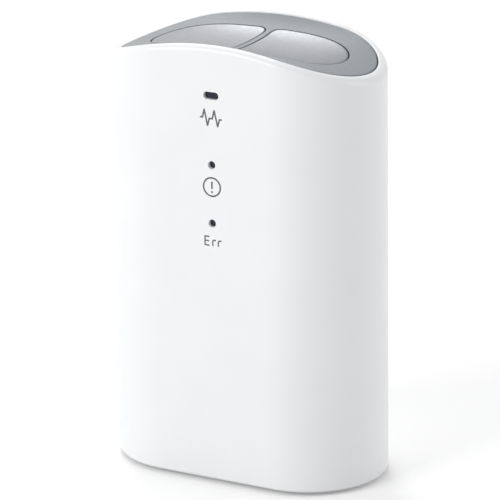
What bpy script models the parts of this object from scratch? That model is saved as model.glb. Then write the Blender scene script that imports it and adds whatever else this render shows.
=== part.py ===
"""Pocket heart-rhythm monitor, in metres with +Z up and its front facing -Y.

A seamless white sleeve stands on a steel chest electrode. Its top is closed by a grey panel that
dips like a saddle and carries two finger electrodes, its foot by a cover. Behind the sleeve's
back wall are two batteries under a door that tilts out, and a start button.
"""

import math

import bmesh
import bpy
from mathutils import Matrix, Vector

# Sleeve
BODY_WIDTH = 0.0647
BODY_DEPTH = 0.0359
BODY_HEIGHT = 0.0996
BODY_DRAFT = 0.00016
WALL = 0.0019
FOOT_RADIUS = 0.0014
LIP_RADIUS = 0.0015
LIP_WIDTH = 0.0021
END_DROP = 0.0071
END_CURL = 0.00116
SIDE_RISE = 0.0014
LEDGE_WIDTH = 0.0014
LEDGE_THICKNESS = 0.0016
BASE_REBATE = 0.0011

# Clearances
SEAT_GAP = 0.0003
PANEL_GAP = 0.0002
INLAY_GAP = 0.00015
RUNNING_GAP = 0.0003
CUT_OVERRUN = 0.003

# Top panel and finger electrodes
PANEL_THICKNESS = 0.0023
DISH_DEPTH = 0.00235
ELECTRODE_END_INSET = 0.00915
ELECTRODE_SIDE_INSET = 0.00815
ELECTRODE_BAR = 0.00175
ELECTRODE_CORNER = 0.002
ELECTRODE_THICKNESS = 0.0008
ELECTRODE_EDGE = 0.00025
STEM_RADIUS = 0.0015
STEM_LENGTH = 0.0062
STEM_X = 0.0085
STEM_BOARD_GAP = 0.0034
PANEL_BOSS_INSET = 0.0158
PANEL_BOSS_RADIUS = 0.0028
PANEL_BOSS_LENGTH = 0.0042
SCREW_WALL_GAP = 0.0011

# Foot cover and chest electrode
STAND_PROUD = 0.0008
BASE_RECESS = 0.0006
BASE_THICKNESS = 0.0024
BASE_BOSS_INSET = 0.0069
BASE_BOSS_RADIUS = 0.0031
BASE_BOSS_HEIGHT = 0.0046
CHEST_BOSS_GAP = 0.0055
CHEST_SIDE_INSET = 0.00845
CHEST_POCKET = 0.0010
CHEST_EDGE = 0.0005
CHEST_STEM_HEIGHT = 0.0042

# Light windows, measured down from the lip at the middle of the front
SLOT_WIDTH = 0.0038
SLOT_HEIGHT = 0.0017
ROUND_WINDOW_RADIUS = 0.0009
WINDOW_RECESS = 0.0012
LENS_MARGIN = 0.0015
LENS_FLANGE = 0.0007
WAVE_DROP = 0.00987
NOTICE_DROP = 0.02565
ERROR_DROP = 0.03905
SHIELD_WIDTH = 0.0090
SHIELD_DEPTH = 0.0032
SHIELD_MARGIN = 0.0030
SHIELD_WELL = 0.0016
LAMP_SIZE = 0.0016
LAMP_HEIGHT = 0.0008

# Batteries and their bay
BATTERY_RADIUS = 0.00515
BATTERY_LENGTH = 0.0445
NUB_RADIUS = 0.0019
NUB_HEIGHT = 0.0008
CRIMP = 0.0005
BAY_FOOT = 0.0085
BAY_WALL = 0.0014
BAY_END_REACH = 0.0030
BAY_RIM_GAP = 0.00045
CONTACT_THICKNESS = 0.0004
CONTACT_WIDTH = 0.0058
SPRING_HEIGHT = 0.0029
SPRING_RADIUS = 0.0026
SPRING_WIRE = 0.0005
BATTERY_COVER_GAP = 0.0008

# Door
DOOR_CORNER = 0.0022
TAB_WIDTH = 0.0020
TAB_ROOT = 0.0016
TAB_HOOK = 0.0018
TAB_THICKNESS = 0.0012
LATCH_WIDTH = 0.0068
LATCH_HEIGHT = 0.0022
THUMB_RADIUS = 0.0055
THUMB_WIDTH = 0.0110
THUMB_DEPTH = 0.0007
THUMB_DROP = 0.0050

# Start button and its switch
BUTTON_RADIUS = 0.0045
BUTTON_PROUD = 0.0002
BUTTON_EDGE = 0.0006
BUTTON_DISH = 0.0003
BUTTON_FLANGE = 0.0014
BUTTON_FLANGE_THICKNESS = 0.0010
GASKET_THICKNESS = 0.0005
GASKET_WIDTH = 0.0012
POST_RADIUS = 0.0016
POST_LENGTH = 0.0009
PLUNGER_RADIUS = 0.0016
PLUNGER_PROUD = 0.0008
PLUNGER_SUNK = 0.0006
SWITCH_SIZE = 0.0060
SWITCH_HEIGHT = 0.0026
SWITCH_BORE_DEPTH = 0.0014
KEY_BOARD_WIDTH = 0.0150
KEY_BOARD_HEIGHT = 0.0080
KEY_BOARD_THICKNESS = 0.0010
KEY_POST_RADIUS = 0.0013

# Inner frame
FRAME_THICKNESS = 0.0016
FLANGE_THICKNESS = 0.0016
FLANGE_REACH = 0.0031
FRAME_SIDE_STEP = 0.0010
BOARD_POST_RADIUS = 0.0023

# Main board and what it carries
BOARD_SIDE_INSET = 0.0103
BOARD_THICKNESS = 0.0016
BOARD_CORNER = 0.0020
BOARD_TOP_DROP = 0.0082
BOARD_FOOT = 0.0120
BOARD_HOLE_INSET_X = 0.0035
BOARD_HOLE_INSET_LOW = 0.0045
BOARD_HOLE_INSET_HIGH = 0.0120
PROCESSOR_SIZE = 0.0090
PROCESSOR_HEIGHT = 0.0010
AMPLIFIER_SIZE = 0.0070
AMPLIFIER_HEIGHT = 0.0009
RADIO_WIDTH = 0.0110
RADIO_LENGTH = 0.0160
RADIO_HEIGHT = 0.0020
BEEPER_RADIUS = 0.0060
BEEPER_HEIGHT = 0.0030
CHIP_OFFSET = 0.0075
CHIP_EDGE = 0.0002
SOCKET_WIDTH = 0.0076
SOCKET_HEIGHT = 0.0014
SOCKET_LENGTH = 0.0030
FLEX_WIDTH = 0.0060
FLEX_THICKNESS = 0.0002
FLEX_BEND = 0.0012
FLEX_SLOT = 0.0006
LEAF_WIDTH = 0.0026
LEAF_THICKNESS = 0.0003
LEAF_FOOT = 0.0035

# Screws
SCREW_RADIUS = 0.0010
SCREW_BITE = 0.0030
SCREW_HEAD_RADIUS = 0.0019
SCREW_HEAD_HEIGHT = 0.0012
SCREW_SLOT_WIDTH = 0.0005
SCREW_SLOT_DEPTH = 0.0006
SCREW_CLEARANCE = 0.0002

# Shape shares and counts, which hold no lengths
ELECTRODE_ROUNDNESS = 3.0
SHARP_DEGREES = 32
SCREW_CROWN_SHARE = 0.8
SCREW_RIM_SHARE = 0.6
SCREW_CROSS_SHARE = 0.6
SCREW_TIP_SHARE = 0.4
BUTTON_ROUND_SHARE = 0.3
BUTTON_DISH_SHARES = ((0.5, 0.8), (0.1, 1.0))
PROCESSOR_SHARE = 0.55
AMPLIFIER_SHARE = 0.77
RADIO_SHARE = 0.69
BEEPER_SHARE = 0.34
DISH_POWER = 3.0
TOP_RING_SHARES = (0.94, 0.84, 0.70, 0.54, 0.36, 0.18, 0.04)
UNDER_RING_SHARES = (0.04, 0.35, 0.68)
INLAY_RING_SHARES = (0.86, 0.62, 0.36, 0.10)
INLAY_UNDER_SHARES = (0.10, 0.55)
END_STEPS = 22
FLANK_STEPS = 6
FILLET_STEPS = 4
CORNER_STEPS = 4
INLAY_STEPS = 22
ROUND_STEPS = 24
SMALL_STEPS = 12
SPRING_TURNS = 3
SPRING_STEPS = 10

# Places that follow from the sizes
HALF_WIDTH = BODY_WIDTH / 2
HALF_DEPTH = BODY_DEPTH / 2
FOOT_Z = STAND_PROUD
LIP_FRONT_Z = FOOT_Z + BODY_HEIGHT
BASE_Z = FOOT_Z + BASE_RECESS
BASE_TOP_Z = BASE_Z + BASE_THICKNESS
INNER_DEPTH = HALF_DEPTH - WALL
WAVE_Z = LIP_FRONT_Z - WAVE_DROP
NOTICE_Z = LIP_FRONT_Z - NOTICE_DROP
ERROR_Z = LIP_FRONT_Z - ERROR_DROP
ELECTRODE_REACH = HALF_WIDTH - ELECTRODE_END_INSET
ELECTRODE_HALF_DEPTH = HALF_DEPTH - ELECTRODE_SIDE_INSET
BASE_BOSS_X = HALF_WIDTH - BASE_BOSS_INSET
CHEST_WIDTH = 2 * (BASE_BOSS_X - CHEST_BOSS_GAP)
CHEST_DEPTH = 2 * (HALF_DEPTH - CHEST_SIDE_INSET)
PANEL_BOSS_X = HALF_WIDTH - PANEL_BOSS_INSET
BOARD_WIDTH = BODY_WIDTH - 2 * BOARD_SIDE_INSET
FRAME_HALF_WIDTH = BOARD_WIDTH / 2 - FRAME_SIDE_STEP
BATTERY_Y = INNER_DEPTH - BATTERY_COVER_GAP - BATTERY_RADIUS
FRAME_BACK_Y = BATTERY_Y - BATTERY_RADIUS - SEAT_GAP
FRAME_Y = FRAME_BACK_Y - FRAME_THICKNESS
PANEL_BOSS_Y = FRAME_Y - SCREW_HEAD_RADIUS - SCREW_WALL_GAP
BATTERY_X = BATTERY_RADIUS + SEAT_GAP / 2
BAY_HALF_WIDTH = BATTERY_X + BATTERY_RADIUS + SEAT_GAP
BAY_LOW = FOOT_Z + BAY_FOOT
PLATE_STEP = SEAT_GAP + CONTACT_THICKNESS + SEAT_GAP
BAY_HIGH = BAY_LOW + 2 * PLATE_STEP + SPRING_HEIGHT + SEAT_GAP + BATTERY_LENGTH
BASE_BOSS_Z = BASE_TOP_Z + BASE_BOSS_HEIGHT
FRAME_LOW = BASE_BOSS_Z + SEAT_GAP
BAY_SIDE_Y = INNER_DEPTH - BAY_RIM_GAP
TAB_OFFSET = BAY_HALF_WIDTH - RUNNING_GAP - TAB_WIDTH / 2
LUG_HEIGHT = SCREW_BITE + FLANGE_THICKNESS / 2


def lip_height(x, y):
    """Height of the white lip over a place in plan: highest front and back, falling to both ends."""
    along = (x / HALF_WIDTH) ** 2
    across = (y / HALF_DEPTH) ** 2
    return LIP_FRONT_Z - END_DROP * along + END_CURL * along ** 2 + SIDE_RISE * across


def dish_height(x, y):
    """Height of the grey saddle, which meets the lip at its rim and dips for a fingertip inside it."""
    radius = HALF_DEPTH - LIP_WIDTH
    past_flank = max(abs(x) - (HALF_WIDTH - HALF_DEPTH), 0)
    across = min(math.hypot(past_flank, y) / radius, 1)
    along = min(abs(x) / (HALF_WIDTH - LIP_WIDTH), 1)
    return lip_height(x, y) - DISH_DEPTH * (1 - across ** DISH_POWER) * (1 - along ** 2)


def shifted(height, drop):
    """The same height function, lower by drop."""
    return lambda x, y: height(x, y) - drop


def draft_at(z):
    """How far the drafted wall stands out past its mid-height outline."""
    return BODY_DRAFT * (1 - 2 * (z - FOOT_Z) / BODY_HEIGHT)


HINGE = Vector((0, HALF_DEPTH + draft_at(BAY_LOW), BAY_LOW + RUNNING_GAP))
LENS_Y = -INNER_DEPTH - draft_at(WAVE_Z) + SEAT_GAP
SHIELD_Y = LENS_Y + LENS_FLANGE + SEAT_GAP
BOARD_Y = SHIELD_Y + SHIELD_DEPTH + SEAT_GAP
BOARD_BACK_Y = BOARD_Y + BOARD_THICKNESS
STEM_Y = BOARD_BACK_Y + STEM_BOARD_GAP
PANEL_BOSS_Z = dish_height(PANEL_BOSS_X, PANEL_BOSS_Y) - PANEL_THICKNESS - PANEL_BOSS_LENGTH
FLANGE_HIGH = PANEL_BOSS_Z - SEAT_GAP
FLANGE_LOW = FLANGE_HIGH - FLANGE_THICKNESS
BOARD_LOW = FOOT_Z + BOARD_FOOT
BOARD_HIGH = LIP_FRONT_Z - BOARD_TOP_DROP
KEY_Z = (BAY_HIGH + BAY_WALL + FLANGE_LOW) / 2
KEY_WALL_Y = HALF_DEPTH + draft_at(KEY_Z)
GASKET_Y = KEY_WALL_Y - WALL - SEAT_GAP
BUTTON_FLANGE_Y = GASKET_Y - GASKET_THICKNESS - SEAT_GAP
POST_END_Y = BUTTON_FLANGE_Y - BUTTON_FLANGE_THICKNESS - POST_LENGTH
PLUNGER_Y = POST_END_Y - SEAT_GAP
SWITCH_Y = PLUNGER_Y - PLUNGER_PROUD
KEY_BOARD_Y = SWITCH_Y - SWITCH_HEIGHT - SEAT_GAP
STEM_END_Z = dish_height(STEM_X, STEM_Y) - STEM_LENGTH
CHEST_STEM_Z = BASE_TOP_Z + CHEST_STEM_HEIGHT
FLEX_Z = (KEY_Z + KEY_BOARD_HEIGHT / 2 + FLANGE_LOW) / 2


def clear_scene():
    for obj in list(bpy.data.objects):
        bpy.data.objects.remove(obj, do_unlink=True)


def finish(name, colour, roughness, metallic=0.0):
    """A Principled material."""
    made = bpy.data.materials.new(name)
    made.use_nodes = True
    shader = made.node_tree.nodes["Principled BSDF"]
    shader.inputs["Base Color"].default_value = (*colour, 1)
    shader.inputs["Roughness"].default_value = roughness
    shader.inputs["Metallic"].default_value = metallic
    made.diffuse_color = (*colour, 1)
    return made


def add_object(name, mesh, material=None, origin=(0, 0, 0)):
    """Links a mesh that was drawn in world space, with its object's origin at the given point."""
    obj = bpy.data.objects.new(name, mesh)
    bpy.context.scene.collection.objects.link(obj)
    mesh.transform(Matrix.Translation(-Vector(origin)))
    obj.location = origin
    if material is None:
        obj.hide_render = True
        obj.display_type = "WIRE"
    else:
        mesh.materials.append(material)
        mesh.shade_smooth()
        mesh.set_sharp_from_angle(angle=math.radians(SHARP_DEGREES))
    return obj


def on_height(outline, height):
    """An outline in plan laid on a height, which is a number or a function of the plan."""
    return [(x, y, height(x, y) if callable(height) else height) for x, y in outline]


def loft(name, rings, material=None, origin=(0, 0, 0), looped=False):
    """A closed skin through rings of equal length, looped back to the first or capped at both ends."""
    bm = bmesh.new()
    rows = [[bm.verts.new(point) for point in ring] for ring in rings]
    pairs = list(zip(rows, rows[1:]))
    if looped:
        pairs.append((rows[-1], rows[0]))
    else:
        bm.faces.new(rows[0])
        bm.faces.new(rows[-1])
    for lower, upper in pairs:
        for i in range(len(lower)):
            bm.faces.new((lower[i - 1], lower[i], upper[i], upper[i - 1]))
    bmesh.ops.recalc_face_normals(bm, faces=bm.faces)
    mesh = bpy.data.meshes.new(name)
    bm.to_mesh(mesh)
    bm.free()
    return add_object(name, mesh, material, origin)


def combine(target, other, operation):
    """Adds a Boolean that cuts the other object away from the target, or joins it to the target."""
    modifier = target.modifiers.new(other.name, "BOOLEAN")
    modifier.operation = operation
    modifier.solver = "EXACT"
    modifier.object = other


def cut(target, other):
    combine(target, other, "DIFFERENCE")


def join(target, other):
    combine(target, other, "UNION")


def body_ring(inset, height):
    """The sleeve's outline drawn in by inset, at a height that is a number or follows the plan."""
    radius = HALF_DEPTH - inset
    reach = HALF_WIDTH - HALF_DEPTH
    stations = []
    for side in (1, -1):
        for step in range(END_STEPS + 1):
            angle = math.pi * (step / END_STEPS - 0.5)
            normal = (side * math.cos(angle), side * math.sin(angle))
            stations.append((side * reach + radius * normal[0], radius * normal[1], normal))
        for step in range(1, FLANK_STEPS):
            across = side * reach * (1 - 2 * step / FLANK_STEPS)
            stations.append((across, side * radius, (0, side)))
    points = []
    for x, y, normal in stations:
        z = height(x, y) if callable(height) else height
        out = draft_at(z)
        points.append((x + out * normal[0], y + out * normal[1], z))
    return points


def scaled_ring(ring, share, height, centre_x=0.0):
    """A ring drawn in towards a middle, and laid on a height function."""
    places = [(centre_x + (x - centre_x) * share, y * share) for x, y, _ in ring]
    return [(x, y, height(x, y)) for x, y in places]


def fillet_steps(radius):
    """Pairs of inset and rise round a quarter circle, from its foot inwards to the wall's face."""
    steps = []
    for step in range(FILLET_STEPS + 1):
        angle = math.pi / 2 * step / FILLET_STEPS
        steps.append((radius * (1 - math.sin(angle)), radius * (1 - math.cos(angle))))
    return steps


def rectangle(width, height, corner, steps=CORNER_STEPS):
    """Corners of a rounded rectangle about the origin, anticlockwise."""
    points = []
    for quarter in range(4):
        sign_x = 1 if quarter in (0, 3) else -1
        sign_y = 1 if quarter in (0, 1) else -1
        for step in range(steps + 1):
            angle = math.pi / 2 * (quarter + step / steps)
            points.append((sign_x * (width / 2 - corner) + corner * math.cos(angle),
                           sign_y * (height / 2 - corner) + corner * math.sin(angle)))
    return points


def plate_y(name, outline, centre, faces, material=None):
    """A prism along Y between two depths, its outline given in X and Z about a centre."""
    rings = [[(centre[0] + x, y, centre[1] + z) for x, z in outline] for y in faces]
    return loft(name, rings, material, (centre[0], faces[0], centre[1]))


def block(name, low, high, material=None):
    """A box between two corners."""
    corners = ((low[0], low[1]), (high[0], low[1]), (high[0], high[1]), (low[0], high[1]))
    rings = [on_height(corners, z) for z in (low[2], high[2])]
    return loft(name, rings, material, [(a + b) / 2 for a, b in zip(low, high)])


def lathe(name, profile, centre, axis, material=None, steps=ROUND_STEPS, origin=(0, 0, 0)):
    """A turned solid: radius and distance along the axis at each ring, capped at both ends."""
    turn = Vector((0, 0, 1)).rotation_difference(Vector(axis)).to_matrix()
    rings = []
    for radius, along in profile:
        ring = []
        for step in range(steps):
            angle = 2 * math.pi * step / steps
            place = turn @ Vector((radius * math.cos(angle), radius * math.sin(angle), along))
            ring.append(place + Vector(centre))
        rings.append(ring)
    return loft(name, rings, material, origin)


def column(name, radius, centre, low, top):
    """An upright round post whose top lies on a height function."""
    places = []
    for step in range(ROUND_STEPS):
        angle = 2 * math.pi * step / ROUND_STEPS
        places.append((centre[0] + radius * math.cos(angle), centre[1] + radius * math.sin(angle)))
    return loft(name, [on_height(places, low), on_height(places, top)])


def strip(name, path, width, thickness, centre_x, material):
    """A bent strip of even thickness, its path given in Y and Z and its width along X."""
    sides = []
    for i, (y, z) in enumerate(path):
        before = Vector(path[max(i - 1, 0)])
        after = Vector(path[min(i + 1, len(path) - 1)])
        here = Vector((y, z))
        legs = [leg.normalized() for leg in (here - before, after - here) if leg.length > 0]
        normals = [Vector((-leg.y, leg.x)) for leg in legs]
        mitre = sum(normals, Vector((0, 0))).normalized()
        sides.append(mitre * thickness / 2 / mitre.dot(normals[0]))
    places = [Vector(p) + s for p, s in zip(path, sides)]
    places += [Vector(p) - s for p, s in reversed(list(zip(path, sides)))]
    rings = [[(centre_x + side * width / 2, p.x, p.y) for p in places] for side in (-1, 1)]
    return loft(name, rings, material)


def make_sleeve(material):
    """The seamless outer sleeve: foot rebate, drafted wall, rounded lip, panel seat and inner wall."""
    seat = PANEL_THICKNESS + SEAT_GAP
    shoulder_z = BASE_TOP_Z + SEAT_GAP
    rings = [body_ring(BASE_REBATE, FOOT_Z)]
    foot_radius = min(FOOT_RADIUS, BASE_REBATE - SEAT_GAP)
    for inset, rise in fillet_steps(foot_radius):
        rings.append(body_ring(inset, FOOT_Z + rise))
    for inset, rise in reversed(fillet_steps(LIP_RADIUS)):
        rings.append(body_ring(inset, shifted(lip_height, rise)))
    rings.append(body_ring(LIP_WIDTH, lip_height))
    rings.append(body_ring(LIP_WIDTH, shifted(lip_height, seat)))
    rings.append(body_ring(LIP_WIDTH + LEDGE_WIDTH, shifted(dish_height, seat)))
    rings.append(body_ring(LIP_WIDTH + LEDGE_WIDTH, shifted(dish_height, seat + LEDGE_THICKNESS)))
    rings.append(body_ring(WALL, shifted(lip_height, seat + LEDGE_THICKNESS)))
    rings.append(body_ring(WALL, shoulder_z))
    rings.append(body_ring(BASE_REBATE, shoulder_z))
    sleeve = loft("body_shell", rings, material, looped=True)
    depths = (-HALF_DEPTH - CUT_OVERRUN, -INNER_DEPTH + CUT_OVERRUN)
    slot = rectangle(SLOT_WIDTH, SLOT_HEIGHT, SLOT_HEIGHT / 2)
    cut(sleeve, plate_y("slot_cutter", slot, (0, WAVE_Z), depths))
    for name, z in (("notice", NOTICE_Z), ("error", ERROR_Z)):
        profile = [(ROUND_WINDOW_RADIUS, along) for along in depths]
        cut(sleeve, lathe(f"{name}_window_cutter", profile, (0, 0, z), (0, 1, 0)))
    depths = (INNER_DEPTH - CUT_OVERRUN, HALF_DEPTH + CUT_OVERRUN)
    opening = rectangle(2 * BAY_HALF_WIDTH, BAY_HIGH - BAY_LOW, DOOR_CORNER + RUNNING_GAP)
    middle = (0, (BAY_LOW + BAY_HIGH) / 2)
    cut(sleeve, plate_y("bay_cutter", opening, middle, depths))
    profile = [(BUTTON_RADIUS + RUNNING_GAP, along) for along in depths]
    cut(sleeve, lathe("button_cutter", profile, (0, 0, KEY_Z), (0, 1, 0)))
    return sleeve


def electrode_outline(side, spread):
    """Plan of one finger electrode grown by spread: a rounded half oval beside the middle bar."""
    near = ELECTRODE_BAR / 2
    corner = ELECTRODE_CORNER

    def half_depth(x):
        share = 1 - (x / ELECTRODE_REACH) ** ELECTRODE_ROUNDNESS
        return ELECTRODE_HALF_DEPTH * share ** (1 / ELECTRODE_ROUNDNESS)

    start = math.acos(((near + corner) / ELECTRODE_REACH) ** (ELECTRODE_ROUNDNESS / 2))
    points = []
    for step in range(INLAY_STEPS + 1):
        angle = start * (2 * step / INLAY_STEPS - 1)
        across = math.copysign(abs(math.sin(angle)) ** (2 / ELECTRODE_ROUNDNESS), angle)
        points.append((ELECTRODE_REACH * math.cos(angle) ** (2 / ELECTRODE_ROUNDNESS),
                       ELECTRODE_HALF_DEPTH * across))
    centre = Vector((near + corner, half_depth(near + corner) - corner))
    for half in (1, -1):
        for step in range(1, CORNER_STEPS + 1):
            turned = step if half > 0 else CORNER_STEPS - step
            angle = math.pi / 2 * (1 + turned / CORNER_STEPS)
            point = centre + corner * Vector((math.cos(angle), math.sin(angle)))
            points.append((point.x, half * point.y))
    points.pop()
    return grown([(side * x, y) for x, y in points][::side], spread)


def grown(points, spread):
    """An anticlockwise outline moved outwards by spread along its own normals."""
    moved = []
    for i, (x, y) in enumerate(points):
        before = Vector(points[i - 1])
        after = Vector(points[(i + 1) % len(points)])
        run = (after - before).normalized()
        moved.append((x + run.y * spread, y - run.x * spread))
    return moved


def make_panel(material):
    """The grey saddle panel with two electrode pockets, stem holes and two screw bosses."""
    edge = body_ring(LIP_WIDTH + PANEL_GAP, lip_height)
    under = shifted(dish_height, PANEL_THICKNESS)
    rings = [scaled_ring(edge, share, under) for share in UNDER_RING_SHARES]
    rings.append(scaled_ring(edge, 1, under))
    rings.append(scaled_ring(edge, 1, dish_height))
    rings += [scaled_ring(edge, share, dish_height) for share in TOP_RING_SHARES]
    panel = loft("top_panel", rings, material)
    pocket = ELECTRODE_THICKNESS + SEAT_GAP
    middle = (ELECTRODE_BAR / 2 + ELECTRODE_REACH) / 2
    for side, word in ((-1, "left"), (1, "right")):
        within = shifted(dish_height, (pocket + PANEL_THICKNESS) / 2)
        place = (side * PANEL_BOSS_X, PANEL_BOSS_Y)
        join(panel, column(f"panel_boss_{word}", PANEL_BOSS_RADIUS, place, PANEL_BOSS_Z, within))
        outline = on_height(electrode_outline(side, INLAY_GAP), shifted(dish_height, pocket))
        rings = [scaled_ring(outline, share, shifted(dish_height, pocket), side * middle)
                 for share in INLAY_UNDER_SHARES]
        rings += [outline, [(x, y, LIP_FRONT_Z + CUT_OVERRUN) for x, y, _ in outline]]
        cut(panel, loft(f"pocket_cutter_{word}", rings))
        hole = column(f"stem_hole_{word}", STEM_RADIUS + SCREW_CLEARANCE, (side * STEM_X, STEM_Y),
                      STEM_END_Z, shifted(dish_height, -CUT_OVERRUN))
        cut(panel, hole)
        depth = SCREW_BITE + SCREW_CLEARANCE
        cut(panel, screw_bore(f"panel_bore_{word}", (*place, PANEL_BOSS_Z), (0, 0, 1), depth))
    return panel


def make_finger_electrode(side, word, material):
    """A formed steel inlay that follows the saddle, with its contact stem below."""
    middle = side * (ELECTRODE_BAR / 2 + ELECTRODE_REACH) / 2
    outer = electrode_outline(side, 0)
    inner = on_height(electrode_outline(side, -ELECTRODE_EDGE), dish_height)
    under = shifted(dish_height, ELECTRODE_THICKNESS)
    low = on_height(outer, under)
    rings = [scaled_ring(low, share, under, middle) for share in INLAY_UNDER_SHARES]
    rings += [low, on_height(outer, shifted(dish_height, ELECTRODE_EDGE)), inner]
    rings += [scaled_ring(inner, share, dish_height, middle) for share in INLAY_RING_SHARES]
    plate = loft(f"finger_electrode_{word}", rings, material)
    within = shifted(dish_height, ELECTRODE_THICKNESS / 2)
    join(plate, column(f"finger_stem_{word}", STEM_RADIUS, (side * STEM_X, STEM_Y), STEM_END_Z, within))
    return plate


def screw_bore(name, mouth, axis, depth):
    """A cutter for a screw's hole, from just outside its mouth to its blind end."""
    radius = SCREW_RADIUS + SCREW_CLEARANCE
    return lathe(name, [(radius, -CUT_OVERRUN), (radius, depth)], mouth, axis, steps=SMALL_STEPS)


def make_screw(name, head_seat, axis, shank, material):
    """A pan-head screw with a cross recess. The seat is under its head, and the axis points to its tip."""
    profile = [(SCREW_HEAD_RADIUS * SCREW_CROWN_SHARE, -SCREW_HEAD_HEIGHT),
               (SCREW_HEAD_RADIUS, -SCREW_HEAD_HEIGHT * SCREW_RIM_SHARE), (SCREW_HEAD_RADIUS, 0),
               (SCREW_RADIUS, 0), (SCREW_RADIUS, shank - SCREW_RADIUS),
               (SCREW_RADIUS * SCREW_TIP_SHARE, shank)]
    screw = lathe(name, profile, head_seat, axis, material, SMALL_STEPS, head_seat)
    direction = Vector(axis)
    across = direction.orthogonal().normalized()
    beside = direction.cross(across)
    top = Vector(head_seat) - direction * SCREW_HEAD_HEIGHT
    for index, (along, wide) in enumerate(((across, beside), (beside, across))):
        half = along * SCREW_HEAD_RADIUS * SCREW_CROSS_SHARE
        thin = wide * SCREW_SLOT_WIDTH / 2
        square = (half + thin, half - thin, -half - thin, -half + thin)
        drops = (-CUT_OVERRUN, SCREW_SLOT_DEPTH)
        rings = [[top + direction * drop + corner for corner in square] for drop in drops]
        cut(screw, loft(f"{name}_slot_{index}", rings))
    return screw


def make_base(material):
    """The foot cover: a plate let into the sleeve, with a pocket for the chest electrode and two bosses."""
    inset = BASE_REBATE + PANEL_GAP
    base = loft("base_cover", [body_ring(inset, BASE_Z), body_ring(inset, BASE_TOP_Z)], material)
    outline = chest_outline(-INLAY_GAP)
    rings = [on_height(outline, z) for z in (BASE_Z - CUT_OVERRUN, BASE_Z + CHEST_POCKET)]
    for side, word in ((-1, "left"), (1, "right")):
        place = (side * BASE_BOSS_X, 0)
        within = (BASE_Z + BASE_TOP_Z) / 2
        join(base, column(f"base_boss_{word}", BASE_BOSS_RADIUS, place, within, BASE_BOSS_Z))
        head = SCREW_HEAD_RADIUS + SCREW_CLEARANCE
        cut(base, column(f"base_head_cutter_{word}", head, place, FOOT_Z - CUT_OVERRUN, BASE_TOP_Z))
        shank = SCREW_RADIUS + SCREW_CLEARANCE
        cut(base, column(f"base_shank_cutter_{word}", shank, place, BASE_Z, BASE_BOSS_Z + CUT_OVERRUN))
    cut(base, loft("chest_pocket_cutter", rings))
    stem = STEM_RADIUS + SCREW_CLEARANCE
    cut(base, column("chest_stem_cutter", stem, (0, STEM_Y), BASE_Z, BASE_TOP_Z + CUT_OVERRUN))
    return base


def chest_outline(inset):
    """Plan of the chest electrode, straight flanks and half-round ends, drawn in by inset."""
    size = (CHEST_WIDTH - 2 * inset, CHEST_DEPTH - 2 * inset)
    return rectangle(*size, CHEST_DEPTH / 2 - inset, END_STEPS // 2)


def make_chest_electrode(material):
    """The oval steel plate that the monitor stands on, with its contact stem."""
    rings = []
    for inset, z in ((CHEST_EDGE, 0), (0, CHEST_EDGE), (0, BASE_Z + CHEST_POCKET - SEAT_GAP)):
        rings.append(on_height(chest_outline(inset), z))
    plate = loft("chest_electrode", rings, material)
    join(plate, column("chest_stem", STEM_RADIUS, (0, STEM_Y), BASE_Z, CHEST_STEM_Z))
    return plate


def make_lens(name, outline_size, corner, z, material):
    """A smoked lens: a flange behind the front wall, and a boss that fills the window up to its recess."""
    width, height = outline_size
    gap = 2 * INLAY_GAP
    flange = rectangle(width + 2 * LENS_MARGIN, height + 2 * LENS_MARGIN, corner + LENS_MARGIN)
    lens = plate_y(name, flange, (0, z), (LENS_Y, LENS_Y + LENS_FLANGE), material)
    boss = rectangle(width - gap, height - gap, corner - INLAY_GAP)
    front = -HALF_DEPTH - draft_at(z) + WINDOW_RECESS
    join(lens, plate_y(f"{name}_boss", boss, (0, z), (front, LENS_Y + LENS_FLANGE / 2)))
    return lens


def make_front_stack(lens_material, shield_material, lamp_material):
    """Lenses, the shield that keeps their light apart, and the three lamps behind them."""
    round_size = (2 * ROUND_WINDOW_RADIUS, 2 * ROUND_WINDOW_RADIUS)
    make_lens("wave_lens", (SLOT_WIDTH, SLOT_HEIGHT), SLOT_HEIGHT / 2, WAVE_Z, lens_material)
    make_lens("notice_lens", round_size, ROUND_WINDOW_RADIUS, NOTICE_Z, lens_material)
    make_lens("error_lens", round_size, ROUND_WINDOW_RADIUS, ERROR_Z, lens_material)
    low = (-SHIELD_WIDTH / 2, SHIELD_Y, ERROR_Z - SHIELD_MARGIN)
    high = (SHIELD_WIDTH / 2, SHIELD_Y + SHIELD_DEPTH, WAVE_Z + SHIELD_MARGIN - SEAT_GAP)
    shield = block("light_shield", low, high, shield_material)
    for name, z in (("wave", WAVE_Z), ("notice", NOTICE_Z), ("error", ERROR_Z)):
        profile = [(SHIELD_WELL, -CUT_OVERRUN), (SHIELD_WELL, SHIELD_DEPTH + CUT_OVERRUN)]
        cut(shield, lathe(f"{name}_well_cutter", profile, (0, SHIELD_Y, z), (0, 1, 0), steps=SMALL_STEPS))
        back = BOARD_Y - SEAT_GAP
        low = (-LAMP_SIZE / 2, back - LAMP_HEIGHT, z - LAMP_SIZE / 2)
        block(f"{name}_lamp", low, (LAMP_SIZE / 2, back, z + LAMP_SIZE / 2), lamp_material)


def board_z(share):
    """A height on the main board, as a share of the board's own height."""
    return BOARD_LOW + (BOARD_HIGH - BOARD_LOW) * share


def board_holes():
    """Places of the four board screws in X and Z, with their names."""
    across = BOARD_WIDTH / 2 - BOARD_HOLE_INSET_X
    return [("low_left", -across, BOARD_LOW + BOARD_HOLE_INSET_LOW),
            ("low_right", across, BOARD_LOW + BOARD_HOLE_INSET_LOW),
            ("high_left", -across, BOARD_HIGH - BOARD_HOLE_INSET_HIGH),
            ("high_right", across, BOARD_HIGH - BOARD_HOLE_INSET_HIGH)]


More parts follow.
